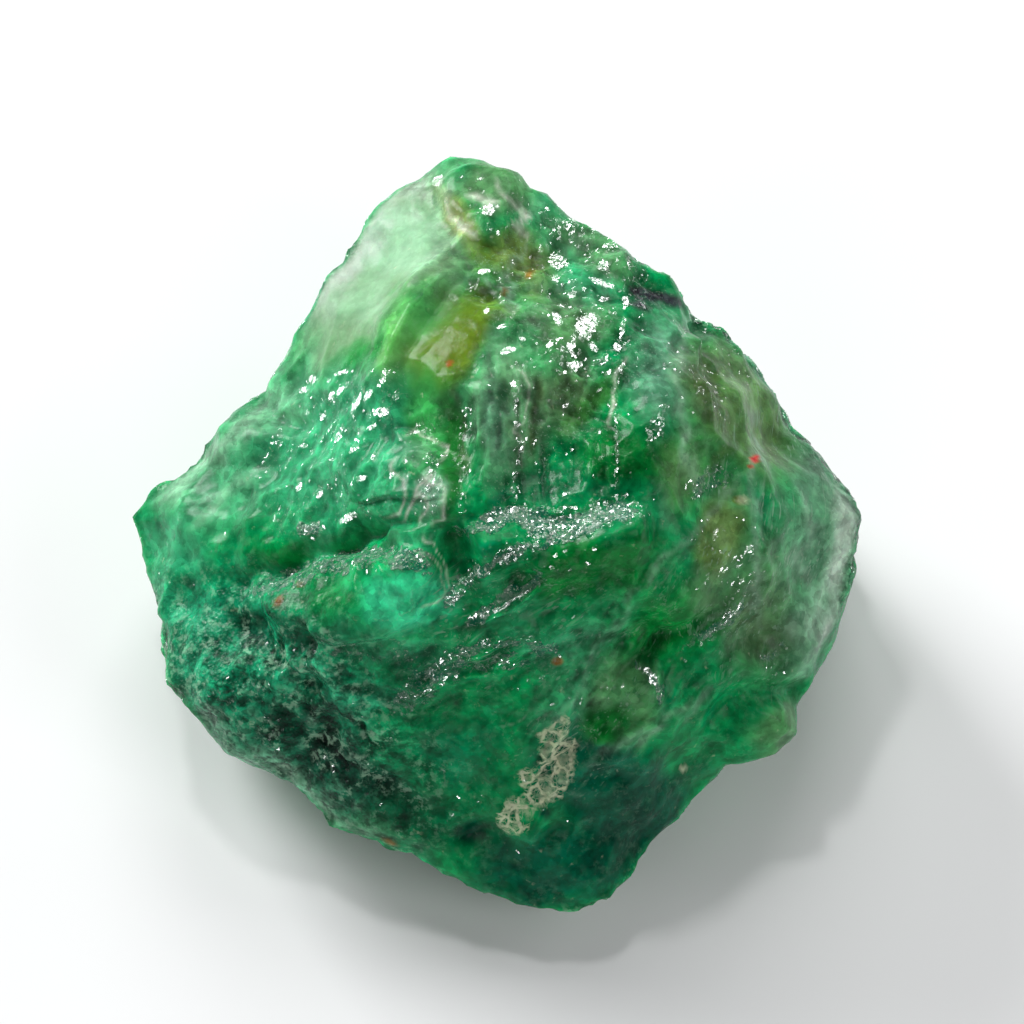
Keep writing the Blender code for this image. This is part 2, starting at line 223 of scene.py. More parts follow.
def outline_reach(turns):
    """Distance from the middle to the outline, at each turn in the sheet."""
    u, v = np.array(OUTLINE).T
    order = np.argsort(turn_of(u, v))
    return np.interp(turns, turn_of(u, v)[order], np.hypot(u, v)[order], period=2.0 * math.pi)


def rim_reach(turns):
    """Distance from the middle to the lump's widest line, at each turn: the widest of its tilts."""
    widest = np.zeros(len(RIM_TURNS))
    for tilt in RIM_TILTS:
        out, up = np.sin(tilt), np.cos(tilt)
        ring = np.stack([np.cos(RIM_TURNS) * out, np.sin(RIM_TURNS) * out, 0 * RIM_TURNS + up], axis=1)
        widest = np.maximum(widest, cut_lump(ring)[0] * out)
    return np.interp(turns, RIM_TURNS, widest)


def fitted_lump(directions):
    """Points, normals and nearness to the rim, after u and v are scaled by outline / rim near the rim."""
    reach, normals = cut_lump(directions)
    points = directions * reach[:, None]
    turns = turn_of(points[:, 0], points[:, 1])
    rim = rim_reach(turns)
    share_of_rim = np.hypot(points[:, 0], points[:, 1]) / rim
    scale = 1.0 + (outline_reach(turns) / rim - 1.0) * smooth(share_of_rim, OUTLINE_STARTS, 1.0)
    points[:, :2] *= scale[:, None]
    return points, normals, share_of_rim


print("rim, mm:", np.ptp(OUTLINE, axis=0).round(1))

# %% [markdown]
# ## Forms drawn on the show side
#
# Two kinds of marks are enough to draw every form. An ellipse gives a hollow, a pit or a lump. A line of
# a few points gives a step, a ridge or a crease, by the distance to it and the side it is on.

# %% Two measures: in an ellipse, and beside a line
def ellipse_share(u, v, place):
    """1 in the middle of an ellipse, falling evenly to 0 on its rim: 1 - |(along, across)|."""
    middle_u, middle_v, half_length, half_width, turn = place
    turn = math.radians(turn)
    along = ((u - middle_u) * math.cos(turn) + (v - middle_v) * math.sin(turn)) / half_length
    across = ((v - middle_v) * math.cos(turn) - (u - middle_u) * math.sin(turn)) / half_width
    return 1.0 - np.hypot(along, across)


def line_reading(u, v, line):
    """Signed distance to a broken line, above 0 on its left, and the share of its length run so far."""
    line = np.array(line)
    steps = np.diff(line, axis=0)
    lengths = np.hypot(*steps.T)
    starts = np.concatenate([[0.0], np.cumsum(lengths)])
    nearest = np.full(len(u), np.inf)
    signed = np.zeros(len(u))
    run = np.zeros(len(u))
    for start, step, length, before in zip(line[:-1], steps, lengths, starts):
        du, dv = u - start[0], v - start[1]
        share = np.clip((du * step[0] + dv * step[1]) / length**2, 0.0, 1.0)
        distance = np.hypot(du - share * step[0], dv - share * step[1])
        side = np.sign(step[0] * dv - step[1] * du)
        closer = distance < nearest
        nearest = np.where(closer, distance, nearest)
        signed = np.where(closer, distance * side, signed)
        run = np.where(closer, before + share * length, run)
    return signed, run / starts[-1]


FADE = 0.18  # share of a line's length over which each end fades out


def fading_ends(run):
    return smooth(run, 0.0, FADE) * smooth(1.0 - run, 0.0, FADE)


print("middle of an ellipse:", ellipse_share(np.zeros(1), np.zeros(1), (0.0, 0.0, 2.0, 1.0, 0)).round(2))

# %% [markdown]
# ## The large forms
#
# Everything big enough to cast a shadow is drawn on the sheet: hollows and lumps as ellipses, ledges as
# steps across a line, and ridges and creases along lines. Each of them is a short row of numbers, so the
# stone can be carved again by changing one row.

# %% The large forms
HOLLOWS = {  # place, half length, half width, turn of the length, depth
    "hollow behind the ledge": (3.1, 5.6, 8.2, 6.2, 20, 1.9),
    "deep end of the hollow": (5.6, 6.4, 3.0, 3.0, 0, 0.5),
    "recess beside the round lump": (-2.2, -1.1, 1.4, 2.2, 20, 0.9),
    "west pit": (-12.4, -5.1, 2.1, 2.1, 0, 1.0),
    "small west pit": (-15.7, -3.1, 1.5, 1.5, 0, 0.4),
    "pit under the round lump": (-9.9, -7.6, 1.6, 1.4, 0, 0.5),
    "south-west pit": (-8.4, -10.4, 3.4, 2.4, -40, 0.7),
    "low south-west pit": (-4.9, -12.9, 2.8, 2.0, -30, 0.6),
    "toe pit": (-1.4, -14.7, 1.3, 1.3, 0, 0.5),
    "small toe pit": (3.1, -14.4, 1.1, 1.1, 0, 0.35),
    "east hollow": (7.9, -5.1, 2.5, 2.5, 0, 0.5),
    "north-east hollow": (10.9, 8.2, 2.0, 2.0, 0, 0.5),
    "low east hollow": (13.4, -5.1, 2.2, 2.2, 0, 0.35),
}
LUMPS = {  # place, half length, half width, turn of the length, height
    "round lump": (-7.3, -2.7, 5.0, 2.3, 8, 1.2),
    "south-east knob": (5.9, -7.9, 2.3, 2.8, -30, 0.45),
    "north knob": (-1.0, 17.0, 2.4, 1.6, 0, 0.35),
}
LUMP_SHOULDER = 0.35  # share of a lump's half width over which it rises

LEDGE = [
    (-2.9, -0.2), (-0.7, 0.6), (0.8, 1.0), (2.0, 0.7), (2.9, 0.4),
    (3.8, 0.5), (4.8, 0.8), (6.2, 1.2), (8.0, 1.3),
]
WEST_CREST = [(-1.4, 14.4), (-3.4, 10.4), (-4.6, 7.9), (-4.6, 5.4), (-2.9, 4.2), (-2.5, 1.9), (-2.9, 0.2)]
BULGE_FOOT = [
    (-3.0, 0.6), (-5.0, 0.9), (-6.7, 0.5), (-7.6, -0.3), (-9.4, -1.1), (-11.1, -1.5), (-13.0, -2.4),
]
STEPS = {  # height, width of the edge, width of the top, run-off beyond it, line with the high side right
    "ledge": (1.5, 0.65, 0.7, 2.9, LEDGE),
    "west crest": (0.9, 0.35, 1.2, 3.6, WEST_CREST),
    "west bulge": (0.55, 0.3, 1.6, 3.2, BULGE_FOOT),
}
RIDGES = {  # height, half width, line
    "white ridge": (0.6, 0.35, [(-1.8, -4.5), (-1.1, -3.9), (0.1, -3.1), (1.2, -2.4), (2.4, -1.6)]),
    "upper ridge": (0.5, 0.4, [(-2.6, -2.7), (-1.6, -1.9), (-0.6, -1.1), (1.2, -0.4), (3.2, -0.7)]),
    "middle ridge": (0.3, 0.4, [(-3.9, -6.3), (-2.4, -5.3), (-0.4, -4.9), (1.1, -4.7), (2.5, -5.2)]),
    "lower ridge": (0.35, 0.35, [(-4.9, -8.1), (-3.6, -7.1), (-2.2, -6.3), (0.0, -6.0), (1.9, -6.2)]),
    "east fibre ridge": (0.4, 0.7, [
        (7.1, -0.3), (6.1, -2.6), (5.0, -5.1),
        (3.6, -7.6), (2.5, -10.4), (1.1, -13.1),
    ]),
    "veil ridge": (0.5, 0.6, [(9.6, 11.4), (9.6, 8.9), (10.1, 5.4), (12.2, 3.4), (12.7, -1.1), (12.9, -5.1)]),
    "south-east brink": (0.6, 0.7, [
        (1.1, -15.4), (2.4, -13.3), (3.9, -11.6),
        (6.3, -10.0), (11.1, -7.6), (14.6, -6.3),
    ]),
}
CREASES = {  # depth, half width, line
    "crease under the west bulge": (0.6, 0.45, BULGE_FOOT[::-1]),
    "notch over the south-east lobe": (0.7, 0.5, [(16.6, -7.4), (13.6, -7.6), (11.4, -8.7), (9.6, -9.8)]),
    "gap over the south-east knob": (0.6, 0.4, [(6.4, -6.7), (8.2, -5.4), (9.8, -4.3), (11.4, -2.9)]),
    "north-east notch": (0.6, 0.45, [(11.4, 12.1), (10.3, 10.4), (10.1, 8.3)]),
    "west notch": (0.45, 0.6, [(-12.4, 7.7), (-9.9, 5.9), (-8.4, 5.4)]),
}


def drawn_forms(u, v):
    """Heights of the hollows, lumps, steps, ridges and creases, added up."""
    total = np.zeros(len(u))
    for *place, depth in HOLLOWS.values():
        total -= depth * smooth(ellipse_share(u, v, place), 0.0, 1.0)
    for *place, height in LUMPS.values():
        total += height * smooth(ellipse_share(u, v, place), 0.0, LUMP_SHOULDER)
    for height, edge, top, run_off, line in STEPS.values():
        signed, run = line_reading(u, v, line)
        rise = smooth(-signed, -edge, edge) * (1.0 - smooth(-signed, top, top + run_off))
        total += height * rise * fading_ends(run)
    for height, half_width, line in RIDGES.values():
        signed, run = line_reading(u, v, line)
        total += height * np.exp(-np.abs(signed) / half_width) * fading_ends(run)
    for depth, half_width, line in CREASES.values():
        signed, run = line_reading(u, v, line)
        total -= depth * np.exp(-((signed / half_width) ** 2)) * smooth(1.0 - run, 0.0, 2.0 * FADE)
    return total


print("drawn forms:", len(HOLLOWS) + len(LUMPS) + len(STEPS) + len(RIDGES) + len(CREASES))

# %% [markdown]
# ## Where the skin is of another kind
#
# The same stone is pitted on one slope, grooved in the hollow, stringy in the lower middle and crumbly
# at the lower left. Each kind of skin gets an ellipse, and its share fades out over a soft border.

# %% Kinds of skin
ZONES = {  # place, half length, half width, turn, border as a share of the half width
    "crumbly": (-10.4, -8.8, 12.4, 7.2, -40, 0.75),
    "pitted": (-8.4, 4.8, 7.0, 5.4, 25, 0.4),
    "sparkling": (3.4, 12.2, 8.0, 4.2, -28, 0.4),
    "grooved": (2.2, 5.4, 5.4, 5.2, 0, 0.35),
    "slanting": (-0.4, -4.2, 6.4, 4.4, 25, 0.5),
    "stringy": (4.9, -7.6, 9.0, 4.6, 52, 0.5),
    "veiled": (13.4, 0.4, 5.4, 11.0, -10, 0.5),
    "calm": (-6.4, 13.0, 6.6, 3.7, 60, 0.5),
    "smooth crest": (-2.8, 9.2, 3.6, 1.5, 50, 0.6),
}
ZONE_STRAY, ZONE_STRAY_SIZE = 0.7, 2.6  # how far the borders stray, and over what length
HIDDEN_SIZE, HIDDEN_BORDER = 9.0, (-0.1, 0.5)  # the crumbly clouds on the back


def zone_shares(points, normals):
    """Share of each kind of skin at each point. The back takes crumbly and chipped skin by soft noise."""
    shows = smooth(normals[:, 2], *FACING)
    u, v = (points[:, :2] + ZONE_STRAY * drift(points, ZONE_STRAY_SIZE, 2, 121, 122)).T
    shares = {}
    for name, (*place, border) in ZONES.items():
        shares[name] = smooth(ellipse_share(u, v, place), 0.0, border) * shows
    hidden = (1.0 - shows) * smooth(rough(points, HIDDEN_SIZE, 2, 131), *HIDDEN_BORDER)
    shares["crumbly"] = np.maximum(shares["crumbly"], hidden)
    shares["calm"] = np.maximum(shares["calm"], shares["smooth crest"])
    shares["shows"] = shows
    return shares


print("kinds of skin:", len(ZONES))

# %% [markdown]
# ## Large relief, then fine relief
#
# The large relief is the one the plain stone has, so the fine stone fits it like a skin. The fine relief
# goes on top: each kind of skin has chips or grooves of its own size and direction.

# %% Large relief
UNEVEN_SIZE, UNEVEN_DEPTH = 7.0, 0.45  # the long waves in every break
WARP_SIZE, WARP_DEPTH = 3.0, 0.6  # the wander that keeps the drawn forms from running straight
CHIP_SIZE, CHIP_SHARE = 4.6, 0.42  # the shell-shaped chips of a brittle break
COBBLE_SIZE, COBBLE_SHARE = 2.4, 0.34  # the round grains of the crumbly corner
CELLS_AWAY = 2  # how many cells off a chip this large may still be the lowest one
CRUMBLY, CRUMBLY_BORDER = ZONES["crumbly"][:5], 0.4
CHIPS_LOST = 0.6  # share of the large chips that the crumbly corner takes away
RIM_STARTS, RIM_RELIEF, RIM_BAND = 0.80, 0.3, 0.3  # where the outline holds the large chips itself
DOWNWARD, PLAIN_MIDDLE = (0.80, 0.97), (6.0, 12.0)  # where the underside stays plain


def large_relief(points, normals, share_of_rim):
    """Drawn forms + long waves + shell chips - cobbles, along the normal."""
    u, v = (points[:, :2] + WARP_DEPTH * drift(points, WARP_SIZE, 2, 21, 22)).T
    shows = smooth(normals[:, 2], *FACING)
    crumbly = smooth(ellipse_share(points[:, 0], points[:, 1], CRUMBLY), 0.0, CRUMBLY_BORDER) * shows
    shell_chips = chips(points, CHIP_SIZE, 51, CELLS_AWAY)
    broken = UNEVEN_DEPTH * rough(points, UNEVEN_SIZE, 3, 11)
    broken += CHIP_SHARE * shell_chips * (1.0 - CHIPS_LOST * crumbly)
    rim_band = smooth(share_of_rim, RIM_STARTS, 1.0) * np.exp(-((normals[:, 2] / RIM_BAND) ** 2))
    broken *= 1.0 - (1.0 - RIM_RELIEF) * rim_band
    cobbles = COBBLE_SHARE * chips(points, COBBLE_SIZE, 53, CELLS_AWAY) * crumbly
    return drawn_forms(u, v) * shows + broken - cobbles


def plain_underside(points, normals):
    """1 where the stone rests, 0 wherever relief is allowed."""
    facing_down = -normals[:, 1] * math.sin(LEAN) - normals[:, 2] * math.cos(LEAN)
    from_middle = np.hypot(points[:, 0], points[:, 1] * math.cos(LEAN) - points[:, 2] * math.sin(LEAN))
    return smooth(facing_down, *DOWNWARD) * (1.0 - smooth(from_middle, *PLAIN_MIDDLE))


print("a large chip is this share of the stone's width:", round(CHIP_SIZE / np.ptp(OUTLINE, axis=0)[0], 2))

# %% [markdown]
# ## Chips, pits and grooves
#
# A break in fluorite is never smooth for long. Chips of several sizes lie in each other like shells, and
# cleavage leaves fine steps that run one way. Each row below is one size of chip or one set of grooves,
# laid only where that kind of skin is. The same heights also say later which spots are bruised and get
# painted light, and which get painted shade.

# %% Fine relief
FINE_CHIPS = (  # skin, height (below 0: bumps), size, part in the tone, seed, turn and stretch if longer
    ("plain", 0.34, 2.1, 0.35, 151, None),
    ("plain and firm", 0.2, 1.0, 0.4, 150, None),
    ("sparkling", 0.5, 1.25, 0.9, 152, None),
    ("sparkling", 0.35, 0.6, 0.9, 153, None),
    ("pitted", 0.4, 0.8, 0.6, 154, (62, 1.5, 0.9)),
    ("grooved", 0.2, 0.9, 0.3, 156, None),
    ("slanting", 0.25, 0.7, 0.6, 158, (34, 1.6, 0.9)),
    ("crumbly", -0.5, 1.3, -1.4, 160, None),
    ("crumbly", 0.9, 0.62, 2.2, 161, None),
    ("plain", 0.1, 0.45, 0.5, 164, None),
)
GROOVES = (  # skin, height, part in the tone, turn, stretch along and across, seed
    ("grooved", 0.13, 0.4, 90, 9.0, 0.5, 155),
    ("slanting", 0.12, 0.5, 34, 3.0, 0.5, 157),
    ("stringy", 0.03, 0.35, 55, 5.0, 0.3, 159),
    ("veiled", 0.03, 0.2, 84, 5.0, 0.5, 163),
)
VEILED_LOSS, CALM_LOSS = 0.5, 0.8  # share of the plain chips that smoother skin takes away
LONG_STRAY, SHORT_STRAY = (0.3, 1.5), (0.08, 0.5)  # how far the chips stray, and over what length
GROOVE_STRAY = 0.2  # share of that straying that the grooves take
GRAIN_SIZE, GRAIN_HEIGHT, GRAIN_TONE = 0.45, 0.02, 0.06


def turned(points, turn, stretch_along, stretch_across):
    """Points read along and across a direction in the sheet, each divided by its own stretch."""
    turn = math.radians(turn)
    along = points[:, 0] * math.cos(turn) + points[:, 1] * math.sin(turn)
    across = points[:, 1] * math.cos(turn) - points[:, 0] * math.sin(turn)
    return np.stack([along / stretch_along, across / stretch_across, points[:, 2] / stretch_across], axis=1)


def fine_relief(points, shares):
    """Height of chips, pits, grooves, strings and grains, and a tone: above 0 on crests, below in pits."""
    far, length = LONG_STRAY
    bent = points + far * drift(points, length, 2, 141, 142, 143)
    far, length = SHORT_STRAY
    bent = bent + far * drift(points, length, 1, 144, 145, 146)
    plain = (1.0 - VEILED_LOSS * shares["veiled"]) * (1.0 - CALM_LOSS * shares["calm"])
    shares = {**shares, "plain": plain, "plain and firm": plain * (1.0 - shares["crumbly"])}
    height = np.zeros(len(points))
    tone = np.zeros(len(points))
    for skin, amount, size, deep, seed, longer in FINE_CHIPS:
        bowls = chips(turned(bent, *longer) if longer else bent, size, seed)
        height += amount * shares[skin] * bowls
        tone += deep * shares[skin] * bowls / size
    straight = points + GROOVE_STRAY * (bent - points)
    for skin, amount, deep, turn, along, across, seed in GROOVES:
        lines = rough(turned(straight, turn, along, across), 1.0, 2, seed)
        height += shares[skin] * amount * lines
        tone += shares[skin] * deep * lines
    grain = rough(points, GRAIN_SIZE, 2, 162)
    return height + GRAIN_HEIGHT * grain, tone + GRAIN_TONE * grain


print("sizes of chip:", len(FINE_CHIPS), "sets of grooves:", len(GROOVES))

# %% [markdown]
# ## Cleavage faces
#
# Fluorite splits along flat planes. The few faces big enough to see one by one are listed, as
# small ellipses. They all look the same way, so they shine together. Thousands of smaller ones come
# later, by chance, in the finish.

# %% Cleavage faces
FACETS = [  # u, v, half length, half width, turn: flat faces big enough to see, all looking one way
    (2.95, 13.75, 0.5, 0.45, 0), (5.2, 12.65, 0.78, 0.18, -16), (4.4, 10.5, 0.75, 0.55, 60),
    (2.95, 10.9, 0.45, 0.2, -75), (5.25, 11.8, 0.3, 0.16, 0), (6.35, 11.65, 0.35, 0.14, 85),
    (6.15, 10.4, 0.65, 0.13, 80), (5.55, 14.6, 0.36, 0.2, 10), (5.25, 13.5, 0.32, 0.28, 0),
    (4.8, 15.4, 0.25, 0.14, 0), (3.4, 15.5, 0.22, 0.15, 60), (2.5, 16.4, 0.2, 0.12, 0),
    (2.85, 12.85, 0.28, 0.17, 30), (3.65, 12.1, 0.3, 0.17, 35), (0.5, 9.25, 0.42, 0.2, 15),
    (1.25, 9.85, 0.2, 0.14, 0), (2.55, 9.55, 0.25, 0.13, 25), (3.55, 9.3, 0.45, 0.12, -75),
    (4.7, 9.4, 0.3, 0.17, -55), (5.9, 9.5, 0.28, 0.22, -60), (3.75, 8.55, 0.42, 0.2, 0),
    (0.25, 10.4, 0.32, 0.1, 25), (-0.5, 11.2, 0.2, 0.12, 40), (-0.7, 13.2, 0.38, 0.16, 12),
    (-3.05, 17.9, 0.4, 0.25, 50), (-0.5, 16.3, 0.38, 0.36, -20), (0.05, 15.2, 0.2, 0.13, 30),
    (0.55, 15.7, 0.24, 0.1, -30), (-7.75, 8.2, 0.45, 0.13, 8), (-9.3, 7.9, 0.3, 0.26, 0),
    (-9.7, 7.4, 0.32, 0.2, 10), (-8.3, 7.0, 0.38, 0.15, 60), (-7.8, 7.3, 0.3, 0.13, 70),
    (-7.0, 6.7, 0.68, 0.14, 66), (-5.6, 7.9, 0.42, 0.17, 75), (-5.7, 6.2, 0.4, 0.26, 10),
    (-8.7, 6.0, 0.25, 0.13, 45), (-7.9, 5.1, 0.42, 0.17, 60), (-6.4, 7.0, 0.4, 0.12, 60),
    (-6.2, 5.5, 0.3, 0.12, 20), (-8.8, 2.2, 0.25, 0.16, 40), (-7.4, 1.0, 0.48, 0.2, 25),
    (-7.1, 4.3, 0.22, 0.12, 30), (-9.7, 4.6, 0.25, 0.14, 0), (-5.2, 3.1, 0.2, 0.12, 70),
    (-6.7, 3.0, 0.32, 0.14, 15), (-9.9, 2.6, 0.3, 0.13, 60), (-4.0, 5.2, 0.18, 0.12, 0),
    (1.2, -2.6, 0.9, 0.16, 34), (0.3, -3.3, 0.75, 0.16, 36), (4.7, -2.6, 0.35, 0.14, -40),
    (7.65, -7.15, 0.3, 0.12, -50),
]
FACET_STRAY, FACET_STRAY_SIZE = 0.08, 0.7  # how far noise bites into the edges of a face


def flat_facets(points):
    """The largest ellipse share of any facet, its edge bitten by fine noise."""
    u, v = (points[:, :2] + FACET_STRAY * drift(points, FACET_STRAY_SIZE, 2, 171, 172)).T
    best = np.full(len(points), -1.0)
    for place in FACETS:
        best = np.maximum(best, ellipse_share(u, v, place))
    return best


print("faces big enough to see:", len(FACETS))

# %% [markdown]
# ## The grid
#
# A ball made of the six faces of a cube has no poles, so its squares stay much the same size. Each face
# is a grid of two parameters. The squares are then drawn towards the show side, where they are needed.

# %% The grid
SQUARES = 128  # squares along each edge of the cube
DRAW_IN = 1.5  # how much closer the squares lie on the show side
TINY = 1e-12  # keeps the very middle of the sheet from being divided by nought


def ball_grid(squares):
    """Directions and quads of a cube's faces, corner (i, j) at tan(pi / 4 (2 i / squares - 1))."""
    first, second = np.meshgrid(np.arange(squares + 1), np.arange(squares + 1), indexing="ij")
    corners = []
    for axis in range(3):
        for end in (0, squares):
            corner = np.full((squares + 1, squares + 1, 3), end)
            corner[..., (axis + 1) % 3] = first if end else second
            corner[..., (axis + 2) % 3] = second if end else first
            corners.append(corner)
    places, index = np.unique(np.reshape(corners, (-1, 3)), axis=0, return_inverse=True)
    index = index.reshape(6, squares + 1, squares + 1)
    quads = np.stack([index[:, :-1, :-1], index[:, 1:, :-1], index[:, 1:, 1:], index[:, :-1, 1:]], axis=-1)
    return unit(np.tan((2.0 * places / squares - 1.0) * math.pi / 4.0)), quads.reshape(-1, 4)


def drawn_in(directions, factor):
    """Half the tangent of each direction's tilt from w is divided by factor."""
    around = np.hypot(directions[:, 0], directions[:, 1])
    tilt = 2.0 * np.arctan2(around, (1.0 + directions[:, 2]) * factor)
    sine = np.sin(tilt) / np.maximum(around, TINY)
    return np.stack([directions[:, 0] * sine, directions[:, 1] * sine, np.cos(tilt)], axis=1)


directions, quads = ball_grid(SQUARES)
directions = drawn_in(directions, DRAW_IN)
print("directions:", len(directions), "quads:", len(quads))

# %% [markdown]
# ## The stone stands up
#
# So far the stone is drawn on its sheet. Now it is leaned back and set on its resting break, which is cut
# flat. The underside round that break rises away from it, so that the stone stands still on five straight
# sides. The relief is laid on along the normals, and it stops short of where the stone rests.

# %% The stone's surface
UNDERCUT, UNDERCUT_RISE = (6.2, 13.0), 1.6  # where the outer underside starts and ends its rise, and how high
UNDERCUT_HEIGHT = 5.0  # the height above the table where that rise has faded out
REST_SIDES = (20.0, 95.0, 160.0, 235.0, 305.0)  # which ways the sides of the flat break face, in degrees


def standing(points):
    """From the sheet's u, v, w to x, y, z with the stone on its resting break, still in mm."""
    u, v, w = points.T
    x = u - MIDDLE[0]
    y = v * math.cos(LEAN) - w * math.sin(LEAN) - MIDDLE[1]
    z = np.maximum(v * math.sin(LEAN) + w * math.cos(LEAN) + UNDER - REST_CUT, 0.0)
    turns = np.radians(REST_SIDES)[:, None]
    outward = (x * np.cos(turns) + y * np.sin(turns)).max(axis=0)
    z += UNDERCUT_RISE * smooth(outward, *UNDERCUT) * (1.0 - smooth(z, 0.0, UNDERCUT_HEIGHT))
    return np.stack([x, y, z], axis=1)


smooth_points, normals, share_of_rim = fitted_lump(directions)
shares = zone_shares(smooth_points, normals)
fine, tone = fine_relief(smooth_points, shares)
relief = large_relief(smooth_points, normals, share_of_rim) + fine
relief *= 1.0 - plain_underside(smooth_points, normals)
sheet_points = smooth_points + normals * relief[:, None]
stone_points = standing(sheet_points)
print("points:", len(stone_points), "triangles:", 2 * len(quads))
print("fine stone, mm:", np.ptp(stone_points, axis=0).round(1))

# %% [markdown]
# ## Colour
#
# Green fluorite is never one green. The colour is painted in layers, the way a scene painter works:
# a ground of deep and bright green clouds, then soft patches, then bands along edges and veils.

# %% Colours by name
def linear(red, green, blue):
    """A screen colour from 0 to 255, as the light it stands for."""
    value = np.array([red, green, blue]) / 255.0
    return np.where(value <= 0.04045, value / 12.92, ((value + 0.055) / 1.055) ** 2.4)


COLOURS = {
    "deep green": linear(4, 146, 82),
    "emerald": linear(54, 162, 112),
    "soft emerald": linear(72, 156, 110),
    "vivid green": linear(0, 112, 38),
    "forest": linear(2, 100, 36),
    "spring green": linear(10, 134, 52),
    "leaf": linear(32, 118, 42),
    "sap green": linear(62, 160, 78),
    "milk": linear(144, 190, 152),
    "pale mint": linear(112, 150, 108),
    "mint": linear(118, 178, 138),
    # lilac grey is laid only as a painted reflection along the north-west edge
    "lilac grey": linear(196, 204, 198),
    "straw": linear(136, 158, 78),
    "olive": linear(90, 124, 36),
    "yellow olive": linear(96, 118, 8),
    "brown olive": linear(112, 134, 68),
    "umber": linear(70, 94, 52),
    "turquoise": linear(60, 208, 150),
    "teal": linear(0, 130, 84),
    "deep teal": linear(0, 104, 60),
    "sea green": linear(16, 132, 94),
    "night green": linear(0, 62, 44),
    "slate green": linear(2, 88, 66),
    "grey green": linear(104, 160, 112),
    # bright sap is laid only as painted light in a shaded groove
    "bright sap": linear(118, 196, 104),
    "grey teal": linear(96, 150, 120),
    "frost": linear(150, 190, 160),
    "sugar": linear(104, 128, 114),
    "stone grey": linear(188, 210, 192),
    "veil": linear(140, 176, 150),
    "moss": linear(90, 142, 90),
    "dark olive": linear(58, 118, 48),
    "olive grey": linear(104, 124, 84),
    "smoke": linear(50, 46, 58),
    "cream": linear(198, 206, 172),
    "white": linear(216, 224, 206),
    "rust": linear(150, 92, 34),
    "red": linear(214, 40, 40),
}


def mix(under, over, share):
    """Each point's colour moved towards another by its own share."""
    return under + (over - under) * share[:, None]


print("colours:", len(COLOURS))
